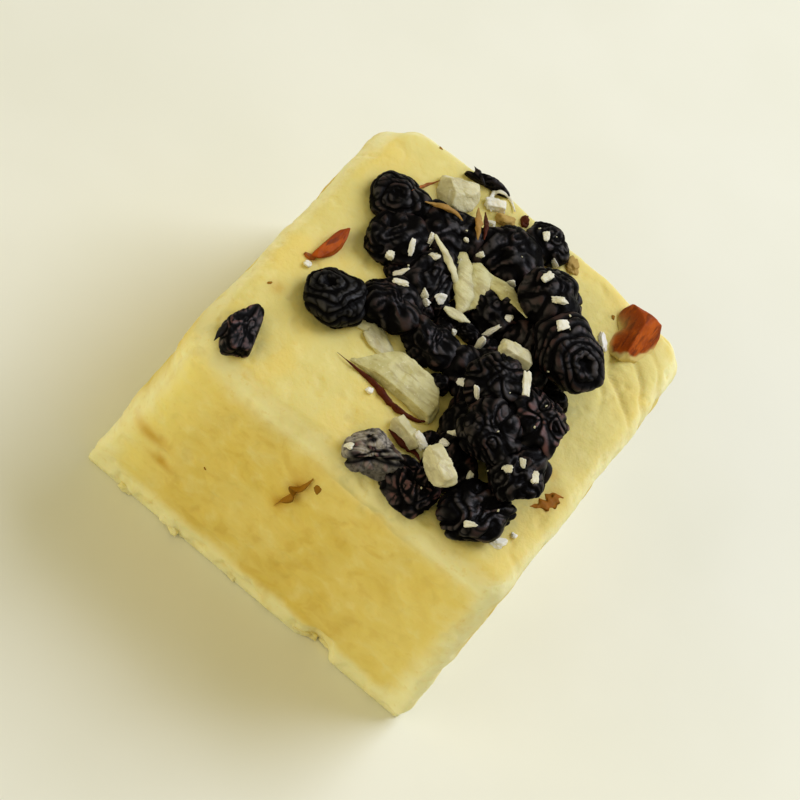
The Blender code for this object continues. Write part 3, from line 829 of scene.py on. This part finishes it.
def make_berries(material):
    """The berries, the scraps between them and strips of their skin; gives the heap's surface."""
    draw = random.Random(BERRY_SEED)
    berries = sorted(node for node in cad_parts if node.startswith("berry"))
    sizes = {}
    for node in berries:
        if node not in NOT_ROUND:
            centre, half = middle_of(node)
            sizes[node] = (np.array(centre), float(np.mean(half)))
    rear, front, scraps = Gathered(), Gathered(), Gathered()
    nodes = {rear: [], front: []}
    for node in berries:
        points, triangles, valleys, sugar_and_sheen_values, look = berry_points(node, drawn_seed(draw), draw, sizes)
        heap = rear if np.mean(points[:, 1]) > BERRY_PARTING else front
        nodes[heap].append(node)
        heap.add(points, triangles, valley=valleys, purple=look["purple"] * draw.uniform(0.5, 1.0),
                 gloss=look["gloss"], sugar=sugar_and_sheen_values)
    rear.make_piece("berries_rear", material, "berry", nodes[rear])
    front.make_piece("berries_front", material, "berry", nodes[front])
    for spot in scrap_places(tree_of(rear, front), sizes):
        seed = drawn_seed(draw)
        half = np.array([size * draw.uniform(0.8, 1.2) for size in SCRAP_HALF])
        centre = np.array((*spot, HEIGHT + 0.3 * half[2]))
        reach = np.ones(len(ball(SCRAP_LEVEL)[0]))
        points, triangles, valleys, _sugar_and_sheen = wrinkled(centre, half, reach, UP, SCRAP_LOOK, seed, SCRAP_LEVEL)
        scraps.add(points, triangles, valley=valleys, purple=draw.uniform(0, 0.5), gloss=0.2)
    surface = tree_of(rear, front, scraps)
    for path, half_width, flatness in SKIN_STRIPS:
        line = [along_view(*place) for place in path]
        scraps.add(*strip(line, half_width, flatness, (0.6, 0.3), 0.5), valley=0.3, purple=0.2, gloss=0.4)
    scraps.make_piece("berry_scraps", material, "berry")
    return surface


# ---- The almonds ----

CHIP_LEVEL = 5
CHIP_STEP_SIZE = 0.0011
CHIP_STEP = 0.00012
CHIP_GRAIN = 0.0004
CHIP_GRAIN_HEIGHT = 0.00004
CHIP_SOFTNESS = 0.015
CHIP_WHITE = 0.25

# Further planes that cut the chips, as a direction and a distance in half sizes
CHIP_PLANES = {
    "almond_flesh_side": (((0.44, 0.9, 0.1), 0.44), ((-0.44, -0.9, 0.15), 0.42), ((0.1, -0.2, 1.0), 0.66)),
    "almond_flesh_front": (((0.25, 0.95, 0.2), 0.35), ((-0.3, -0.9, 0.25), 0.37), ((-0.2, 0.1, 1.0), 0.6)),
    "almond_flesh_rear": (((-0.5, 0.7, 0.5), 0.5), ((0.6, -0.4, 0.7), 0.58), ((0.0, 0.1, 1.0), 0.42)),
    "almond_flesh_inner": (((-0.29, 0.96, 0.3), 0.5), ((0.29, -0.96, 0.4), 0.56), ((0.1, 0.0, 1.0), 0.6)),
}
# The almond slice is thinner and narrower towards its left end
SLICE_TAPER = (-0.007, -0.0024)
SLICE_END_DEPTH = 0.18
SLICE_END_HEIGHT = 0.35
# The skin along the foot of the slice's front edge, from its needle-thin left end: view places; half width and
# flatness; and lean
SLICE_SKIN_LINE = (
    (-7.8, -10.6), (-5.9, -10.6), (-3.5, -10.6), (-1.3, -11.0), (0.6, -11.2), (2.8, -10.7), (3.9, -9.2),
)
SLICE_SKIN = (0.36, 0.944)
SLICE_SKIN_LEAN = 0.5
# The notch in the wedge's skin, in X and Y, and its reach; and where its skin ends, down in the picture
WEDGE_NOTCH = (0.0114, 0.0154)
NOTCH_REACH = 0.0011
NOTCH_DEPTH = 0.0011
WEDGE_SKIN_END = 0.0019
SLIVER_PLANES = (
    ((1.0, -0.25, 0.2), 0.7), ((-1.0, 0.25, 0.2), 0.7), ((0.75, 0.65, 0.0), 0.78), ((0.0, 0.0, 1.0), 0.62),
)


def flesh_relief(spot, seed):
    """Broken steps and grain of chopped almond, cut inwards."""
    steps = CHIP_STEP * soft_step(-0.08, 0.1, noise(spot / CHIP_STEP_SIZE + seed))
    grain = CHIP_GRAIN_HEIGHT * noise(spot / CHIP_GRAIN - seed)
    return -steps + grain - CHIP_GRAIN_HEIGHT


def skin_relief(spot, seed):
    """Fine lengthwise wrinkles of almond skin, cut inwards."""
    veins = noise(Vector((spot.x / 0.0004, spot.y / 0.0016, spot.z / 0.0008)) + seed)
    return 0.00004 * (veins - 1.0)


def cut_points(node, level, rounds, seed, height, planes=()):
    """The form of a solid, cut by some planes, with a relief along its ways out."""
    centre, half, reach = solid_reach(node, level, rounds)
    directions, triangles, _edges = ball(level)
    points = []
    for direction, share in zip(directions, reach):
        way = Vector(direction * half)
        share = cut_reach(Vector(direction), share, planes, CHIP_SOFTNESS)
        spot = Vector(centre) + way * share
        points.append(spot + way.normalized() * height(spot, seed))
    return np.array(points), triangles


def smooth_path(points, count):
    """A smooth line through some points, at even shares of its number of legs."""
    points = [Vector(point) for point in points]
    points = [2 * points[0] - points[1]] + points + [2 * points[-1] - points[-2]]
    line = []
    for number in range(count):
        place = (len(points) - 3) * number / (count - 1)
        leg = min(int(place), len(points) - 4)
        t = place - leg
        a, b, c, d = points[leg:leg + 4]
        line.append(0.5 * ((2 * b) + (c - a) * t + (2 * a - 5 * b + 4 * c - d) * t ** 2
                           + (3 * b - a - 3 * c + d) * t ** 3))
    return line


STRIP_SIDES = 12


def strip(path, half_width, flatness, ends, rough, seed=None, lean=0.0, count=28, blunt=0.6):
    """A closed strip along a path: an oval section, thinner towards its two ends, with a rough edge.

    Its half width is in millimetres, its half height a share of that; lean turns the section about the path.
    """
    line = smooth_path(path, count)
    seed = seed or 900 * line[0]
    points = []
    for number, spot in enumerate(line):
        along = (line[min(number + 1, count - 1)] - line[max(number - 1, 0)]).normalized()
        side = along.cross(UP).normalized()
        up = side.cross(along)
        turn = Quaternion(along, lean)
        side, up = turn @ side, turn @ up
        share = number / (count - 1)
        body = math.sin(math.pi * clamp(0.04 + 0.92 * share, 0, 1)) ** blunt
        size = body * (ends[0] + (1 - ends[0]) * soft_step(0.0, 0.45, share))
        size *= ends[1] + (1 - ends[1]) * soft_step(1.0, 0.55, share)
        for step in range(STRIP_SIDES):
            angle = math.tau * step / STRIP_SIDES
            ragged = 1.0 + rough * noise(Vector((spot.x, spot.y, angle / 2000)) / 0.0007 + seed)
            oval = side * math.cos(angle) + up * flatness * math.sin(angle)
            points.append(spot + size * ragged * half_width * MM * oval)
    points += [line[0], line[-1]]
    faces = []
    for number in range(count - 1):
        for step in range(STRIP_SIDES):
            a = number * STRIP_SIDES + step
            b = number * STRIP_SIDES + (step + 1) % STRIP_SIDES
            faces += [(a, b, b + STRIP_SIDES), (a, b + STRIP_SIDES, a + STRIP_SIDES)]
    first, last = len(points) - 2, len(points) - 1
    for step in range(STRIP_SIDES):
        after = (step + 1) % STRIP_SIDES
        end = (count - 1) * STRIP_SIDES
        faces += [(first, after, step), (last, end + step, end + after)]
    return np.array(points), np.array(faces)


LUMP_BLOCK = 0.86


def lump(spot, half, turn, outward, draw, level=3, planes=6, near=0.45, far=0.85, softness=0.06):
    """A small broken lump: a block cut by drawn planes, lying against a surface that faces outward."""
    directions, triangles, _edges = ball(level)
    cuts = drawn_planes(draw, planes, near, far)
    seed = drawn_seed(draw)
    stand = UP.rotation_difference(outward) @ Quaternion(UP, turn)
    points = []
    for direction in directions:
        direction = Vector(direction)
        block = LUMP_BLOCK / max(abs(value) for value in direction)
        reach = cut_reach(direction, min(block, 1.15), cuts, softness) + 0.2 * noise(2.5 * direction + seed)
        points.append(spot + stand @ Vector(np.array(direction) * reach * np.array(half)))
    return np.array(points), triangles


def slice_points():
    points, triangles = cut_points("almond_slice", 6, 1, Vector((4, 8, 1)), flesh_relief)
    low = points.min(0)
    share = soft_steps(*SLICE_TAPER, points[:, 0])
    points[:, 1] = low[1] + (points[:, 1] - low[1]) * (SLICE_END_DEPTH + (1 - SLICE_END_DEPTH) * share)
    points[:, 2] = low[2] + (points[:, 2] - low[2]) * (SLICE_END_HEIGHT + (1 - SLICE_END_HEIGHT) * share)
    return points, triangles


def make_flesh(material):
    draw = random.Random(7)
    chips = Gathered()
    nodes = [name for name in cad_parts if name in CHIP_PLANES]
    for node in sorted(nodes):
        chips.add(*cut_points(node, CHIP_LEVEL, 1, drawn_seed(draw), flesh_relief, CHIP_PLANES[node]),
                  white=CHIP_WHITE)
    chips.add(*slice_points())
    chips.make_piece("almond_chips", material, "almond_flesh", [*nodes, "almond_slice"])
    return tree_of(chips)


def make_skins(material):
    skins = Gathered()
    points, triangles = cut_points("almond_wedge", 6, 2, Vector((2, 5, 9)), skin_relief)
    low, high = points.min(0), points.max(0)
    centre = (low + high) / 2
    away = np.linalg.norm(points[:, :2] - WEDGE_NOTCH, axis=1) / NOTCH_REACH
    notch = np.exp(-away ** 2)
    inward = (centre - points) / np.linalg.norm(centre - points, axis=1)[:, None]
    points = points + inward * (NOTCH_DEPTH * notch)[:, None]
    rim = soft_steps(0.45, 0.25, (points[:, 2] - low[2]) / (high[2] - low[2]))
    down = (points - centre) @ np.array(PICTURE_DOWN)
    ragged = np.array([noise(Vector(point) / 0.0012) for point in points])
    ends = soft_steps(WEDGE_SKIN_END - 0.00015, WEDGE_SKIN_END + 0.00015, down + 0.0006 * ragged)
    far = soft_steps(-0.0014, -0.0024, down) * soft_steps(0.0, 0.0012, points[:, 0] - centre[0])
    skins.add(points, triangles, dark=0.8 * far, bare=np.clip(1.3 * notch + rim + ends, 0, 1))
    skins.add(*cut_points("almond_sliver", 5, 2, Vector((2, 5, 9)), skin_relief, SLIVER_PLANES), dark=0.15)
    line = [along_view(x, y, 0.55 - 0.25 * (number == 0)) for number, (x, y) in enumerate(SLICE_SKIN_LINE)]
    skins.add(*strip(line, *SLICE_SKIN, (0.16, 0.45), 0.8, Vector((3, 1, 7)), SLICE_SKIN_LEAN, 44), dark=0.85)
    skins.make_piece("almond_skins", material, "almond_skin", ["almond_wedge", "almond_sliver"])


# ---- Crumbs, shreds and specks ----

# White crumbs of almond on the heap: view place, half length, half width and turn
WHITE_CRUMBS = (
    (-9.1, 6.0, 1.05, 0.45, -57), (-8.2, 8.3, 0.9, 0.65, -57), (-6.8, 7.0, 0.75, 0.5, 46),
    (-10.3, 3.4, 0.6, 0.55, 0), (-8.2, 2.6, 1.00, 0.45, 46), (-7.6, 1.4, 0.95, 0.45, 15), (-5.1, 2.4, 0.8, 0.7, 0),
    (-4.4, 1.7, 0.5, 0.45, 0), (-3.6, 3.3, 0.85, 0.7, 86), (-0.3, 1.0, 0.45, 0.4, 0), (-5.4, 11.4, 0.35, 0.3, 0),
    (-4.4, 8.7, 0.8, 0.45, 30), (-3.1, 9.6, 0.5, 0.4, 0), (-3.3, 11.1, 0.5, 0.35, 60), (0.6, 18.9, 0.8, 0.45, -57),
    (3.1, 16.9, 0.75, 0.6, 60), (3.5, 14.6, 0.9, 0.55, 75), (0.9, 10.8, 0.7, 0.45, 46), (6.0, 13.4, 1.05, 0.6, 40),
    (7.9, 10.8, 0.9, 0.7, 46), (3.1, 7.1, 0.6, 0.45, 86), (2.6, 4.3, 1.25, 0.42, 60), (2.7, 1.9, 1.35, 0.48, 72),
    (8.9, 1.9, 1.5, 0.65, -57), (3.7, -3.2, 0.6, 0.55, 0), (5.5, -3.0, 1.2, 0.32, -57), (6.3, -9.1, 0.6, 0.45, 46),
    (12.6, -8.0, 1.1, 0.55, 25), (13.6, -6.3, 0.75, 0.4, -57), (10.4, -12.0, 0.9, 0.5, -50),
    (15.4, -6.7, 0.75, 0.5, -57), (13.4, -16.3, 0.85, 0.45, 46), (6.3, -10.7, 0.6, 0.5, 0),
    (-0.8, -18.6, 0.55, 0.45, 0), (4.2, -12.5, 1.00, 0.65, -10), (11.9, 12.9, 1.5, 0.65, -57),
    (-4.6, 15.1, 0.7, 0.5, 0),
)
CRUMB_LEVEL = 4
# Broad cream strips in the ring: view places with the height above the top, half width and whiteness
RING_STRIPS = (
    (((-4.9, 9.8, 1.9), (-3.2, 8.0, 2.1), (-2.0, 6.2, 2.1), (-1.4, 4.6, 1.9), (-1.1, 2.8, 1.7)), 1.25, 0.06),
    (((-3.0, 9.9, 2.1), (-1.8, 9.0, 2.2), (-1.0, 7.6, 2.1), (-0.6, 6.0, 1.9), (-1.0, 4.2, 1.7)), 1.5, 0.0),
    (((-2.6, 9.4, 2.1), (-0.6, 9.4, 2.2), (1.0, 9.4, 2.2), (2.4, 9.4, 2.5), (4.6, 8.8, 3.2)), 1.1, 0.0),
    (((-2.6, 2.7, 1.9), (-1.0, 3.0, 2.0), (0.4, 3.4, 1.9)), 0.6, 0.2),
)
RING_STRIP_FLATNESS = 0.3
DUST_COUNT = 34
DUST_HALF = (0.0001, 0.0002)
# How dark, olive and bare of skin the brown bits are
TONES = {
    "tan": dict(dark=0.3, olive=0.9, bare=0.4),
    "dark": dict(dark=0.9),
    "brown": dict(dark=0.1, bare=0.1),
    "grey": dict(dark=0.5, olive=0.55, bare=0.22),
    "amber": dict(dark=0.1, olive=0.9),
    "orange": dict(dark=0.1, olive=0.6),
}
# Cream shreds and skin strips: view places, height above what lies there, half width, whiteness or tone
LAID_STRIPS = (
    (((-8.2, 9.1), (-6.6, 8.3), (-4.9, 7.4), (-3.5, 6.2), (-2.5, 4.8)), 0.25, 0.42, 0.25),
    (((-5.4, 16.4), (-6.1, 17.3), (-6.4, 18.6), (-5.9, 19.4), (-4.7, 19.4), (-3.5, 18.5)), 0.25, 0.24, 0.8),
    (((-6.6, 15.5), (-5.6, 14.0), (-4.5, 12.1)), 0.45, 0.4, "grey"),
    (((-5.8, 15.7), (-4.8, 14.4), (-4.0, 12.7)), 0.4, 0.28, "dark"),
    (((-11.2, 11.6), (-10.2, 12.2), (-9.3, 12.7), (-8.1, 13.1), (-7.0, 12.9)), 0.3, 0.38, "grey"),
    (((-13.0, 11.8), (-12.3, 13.5), (-11.5, 15.3)), 0.1, 0.18, "brown"),
    (((1.1, -14.0), (2.8, -14.2), (4.3, -14.1), (5.6, -14.5)), 0.2, 0.45, "dark"),
)
# Lumps that lie on the sweet: place in X and Y, half sizes, turn, and whiteness or tone
TOP_LUMPS = (
    (-5.5, 17.3, 1.3, 0.95, 0.75, 20, 0.9),
    (-3.5, 16.7, 1.4, 0.95, 0.7, 50, "tan"),
    (-2.0, 18.3, 0.85, 0.55, 0.5, -57, "dark"),
    (-7.3, -5.7, 2.1, 1.25, 0.4, -7, 0.15),
    (-5.2, -6.4, 2.1, 1.35, 0.55, -7, 0.15),
    (4.8, 17.8, 1.35, 0.8, 0.6, -57, "tan"),
    (16.6, -16.0, 1.1, 0.7, 0.45, 40, 0.9),
    (17.4, -14.0, 0.4, 0.35, 0.3, 0, 0.9),
    (-2.9, -12.1, 0.45, 0.38, 0.35, 0, 0.9),
    (-15.9, -4.7, 0.45, 0.4, 0.35, 0, 0.9),
    (-16.3, -3.7, 0.75, 0.35, 0.3, 20, "brown"),
)
# Thin smears of skin pressed into the sweet: half width, tone and points near its surface; and half height
SMEARS = (
    (1.0, "amber", ((-2.8, -21.2, 15.0), (-2.5, -21.2, 17.2), (-2.1, -21.2, 19.2), (-1.9, -21.0, 20.6),
                    (-1.5, -20.8, 22.4))),
    (0.65, "orange", ((16.8, -9.8, 28.0), (17.6, -9.0, 28.0), (18.1, -7.8, 28.0), (18.3, -6.7, 28.0),
                      (19.1, -6.2, 28.0))),
)
SMEAR_HALF = 0.1
# Dark specks in the sweet: a point near its surface, half sizes and turn
SPECKS = (
    (-0.5, -21.2, 21.7, 0.46, 0.6, 0),
    (-17.5, -9.4, 27.5, 0.35, 0.2, 40), (-13.8, 19.6, 27.0, 0.3, 0.4, 20), (11.4, 16.3, 27.4, 0.3, 0.3, 0),
    (-10.6, -21.3, 12.0, 0.12, 0.22, 60),
    (-20.9, 2.0, 17.0, 0.2, 0.35, 30), (-20.9, 11.0, 9.0, 0.16, 0.4, 70), (21.3, -6.0, 14.0, 0.22, 0.5, 15),
    (21.3, 9.0, 19.0, 0.18, 0.3, 50), (-7.0, 21.5, 12.0, 0.2, 0.45, 30), (8.0, 21.5, 19.0, 0.16, 0.3, 80),
    (3.0, 21.5, 6.0, 0.18, 0.25, 0),
)


def laid_on(tree, x, y):
    """The point and the normal of a surface right below a place."""
    spot, normal, _index, _distance = tree.ray_cast(Vector((x, y, 0.06)), -UP)
    return spot, normal


def along_view(x, y, raised):
    """The point above a view place, on the camera's line through it."""
    base = Vector((x * MM, y * MM, HEIGHT))
    return base + (EYE - base) * (raised * MM / (EYE.z - base.z))


def seen(trees, x, y):
    """Where the camera's line through a view place first meets a surface, and the normal there."""
    way = (Vector((x * MM, y * MM, HEIGHT)) - EYE).normalized()
    hits = [hit for hit in (tree.ray_cast(EYE, way) for tree in trees) if hit[0] is not None]
    spot, normal, _index, _distance = min(hits, key=lambda hit: hit[3])
    return spot, normal


def make_crumbs(flesh_look, skin_look, sweet_tree, berry_tree, chip_tree):
    draw = random.Random(19)
    white = Gathered()
    brown = Gathered()
    carriers = [sweet_tree, berry_tree, chip_tree]
    for x, y, long, wide, turn in WHITE_CRUMBS:
        spot, normal = seen(carriers, x, y)
        half = [long * MM, wide * MM, 0.6 * wide * MM]
        crumb = lump(spot + 0.25 * half[2] * normal, half, math.radians(turn), normal, draw, CRUMB_LEVEL, 7,
                     0.42, 0.95, 0.02)
        white.add(*crumb, white=draw.uniform(0.55, 1.0))
    for _grain in range(DUST_COUNT):
        x, y = draw.uniform(-0.012, 0.016), draw.uniform(-0.02, 0.018)
        spot, normal = laid_on(berry_tree, x, y)
        size = draw.uniform(*DUST_HALF)
        turn = draw.uniform(0, math.tau)
        if spot is not None and normal.z > 0.3:
            half = (size, 0.7 * size, 0.6 * size)
            white.add(*lump(spot, half, turn, normal, draw, level=2, planes=3), white=0.3)
    for path, half_width, whiteness in RING_STRIPS:
        line = [max(along_view(*place), seen(carriers, *place[:2])[0], key=lambda spot: spot.z)
                for place in path]
        white.add(*strip(line, half_width, RING_STRIP_FLATNESS, (0.8, 0.35), 0.3, blunt=0.3), white=whiteness)
    for path, raised, half_width, look in LAID_STRIPS:
        line = [seen(carriers, x, y)[0] + raised * MM * UP for x, y in path]
        if look in TONES:
            brown.add(*strip(line, half_width, 0.6, (0.6, 0.6), 0.6), **TONES[look])
        else:
            white.add(*strip(line, half_width, 0.5, (0.8, 0.7), 0.6, blunt=0.3), white=look)
    for x, y, long, wide, high, turn, kind in TOP_LUMPS:
        spot, normal = laid_on(sweet_tree, x * MM, y * MM)
        half = (long * MM, wide * MM, high * MM)
        shape = lump(spot + 0.3 * high * MM * normal, half, math.radians(turn), normal, draw, CRUMB_LEVEL, 8,
                     0.55, 0.9, 0.04)
        if kind in TONES:
            brown.add(*shape, **TONES[kind])
        else:
            white.add(*shape, white=kind)
    for half_width, tone, path in SMEARS:
        line = [sweet_tree.find_nearest(Vector(place) * MM)[0] for place in path]
        smear = strip(line, half_width, SMEAR_HALF / half_width, (0.4, 0.6), 1.5, count=40, blunt=0.7)
        brown.add(*smear, **TONES[tone])
    for x, y, z, wide, long, turn in SPECKS:
        spot, normal, _index, _distance = sweet_tree.find_nearest(Vector((x, y, z)) * MM)
        half = (wide * MM, long * MM, 0.00009)
        brown.add(*lump(spot, half, math.radians(turn), normal, draw, level=3, planes=4), **TONES["amber"])
    white.make_piece("almond_crumbs", flesh_look, "almond_flesh")
    brown.make_piece("skin_crumbs", skin_look, "almond_skin")


FOOT_CRUMBS = 22
FOOT_CRUMB_HALF = (0.0013, 0.0005, 0.0005)
FOOT_CRUMB_SPAN = 0.88
FOOT_CRUMB_INSET = 0.99
TOP_CRUMB_COUNT = 5
CRUMB_SEED = 23


def make_foot_crumbs(material):
    """The crumbs that the solid has along its foot, in the same places."""
    place = random.Random(CRUMB_SEED)
    draw = random.Random(3)
    crumbs = Gathered()
    for _top_crumb in range(TOP_CRUMB_COUNT):
        place.uniform(0, math.tau)
    for number in range(FOOT_CRUMBS):
        side = math.radians(90) * (number % 4)
        half = [size * place.uniform(0.6, 1.3) for size in FOOT_CRUMB_HALF]
        height = half[2] * place.uniform(1.05, 1.3)
        run = place.uniform(-FOOT_CRUMB_SPAN, FOOT_CRUMB_SPAN)
        start = Vector((run, -1.0, 2 * height / HEIGHT - 1))
        spot, _outward = sweet_point(Matrix.Rotation(side, 3, "Z") @ start)
        spot = Vector((FOOT_CRUMB_INSET * spot.x, FOOT_CRUMB_INSET * spot.y, height))
        crumb = lump(spot, half, side + place.uniform(-0.3, 0.3), UP, draw, level=4, planes=4)
        crumbs.add(*crumb, side=0.6, edge=0.7)
    crumbs.make_piece("foot_crumbs", material, "sweet")


# ---- Floor, light and camera ----

AIM = Vector((0.0, -0.0005, 0.015))
VIEW_DISTANCE = 0.4112
VIEW_AZIMUTH = math.radians(-0.4)
VIEW_ELEVATION = math.radians(52.2)
VIEW_ROLL = math.radians(39.8)
BACK = Vector((-math.sin(VIEW_AZIMUTH) * math.cos(VIEW_ELEVATION),
               -math.cos(VIEW_AZIMUTH) * math.cos(VIEW_ELEVATION), math.sin(VIEW_ELEVATION)))
EYE = AIM + VIEW_DISTANCE * BACK
LENS = 178.0
FLOOR_HALF = 1.5


def make_floor(material):
    mesh = bpy.data.meshes.new("floor")
    corners = [(x * FLOOR_HALF, y * FLOOR_HALF, 0.0) for x, y in ((-1, -1), (1, -1), (1, 1), (-1, 1))]
    mesh.from_pydata(corners, [], [(0, 1, 2, 3)])
    mesh.materials.append(material)
    floor = add_object("floor", mesh)


def put(name, data, place, turn):
    """Adds a light or the camera to the scene."""
    thing = add_object(name, data)
    thing.location = place
    thing.rotation_mode = "QUATERNION"
    thing.rotation_quaternion = turn
    return thing


def add_light(name, place, size, power, colour):
    light = bpy.data.lights.new(name, "AREA")
    light.size = size
    light.energy = power
    light.color = colour
    put(name, light, place, (AIM - Vector(place)).to_track_quat("-Z", "Y"))


def make_light():
    add_light("window", (0.22, 0.42, 0.52), 0.45, 3.34, (0.95, 1.0, 1.16))
    add_light("fill", (-0.42, -0.5, 0.28), 0.5, 1.5, (1.0, 0.9, 0.65))
    world = bpy.data.worlds.new("studio")
    world.use_nodes = True
    background = world.node_tree.nodes["Background"]
    background.inputs["Color"].default_value = (1.0, 0.9, 0.59, 1.0)
    background.inputs["Strength"].default_value = 0.41
    bpy.context.scene.world = world


def make_camera():
    """The photograph's viewing angle and distance, with a longer lens."""
    lens = bpy.data.cameras.new("camera")
    lens.lens = LENS
    lens.sensor_width = 36.0
    lens.clip_start = 0.01
    scene = bpy.context.scene
    scene.camera = put("camera", lens, EYE, (-BACK).to_track_quat("-Z", "Y") @ Quaternion(UP, VIEW_ROLL))
    scene.view_settings.view_transform = "Standard"


sweet_look = sweet_material()
flesh_look = flesh_material()
skin_look = skin_material()
sweet_tree = make_sweet(sweet_look)
berry_tree = make_berries(berry_material())
chip_tree = make_flesh(flesh_look)
make_skins(skin_look)
make_crumbs(flesh_look, skin_look, sweet_tree, berry_tree, chip_tree)
make_foot_crumbs(sweet_look)
make_floor(floor_material())
make_light()
make_camera()
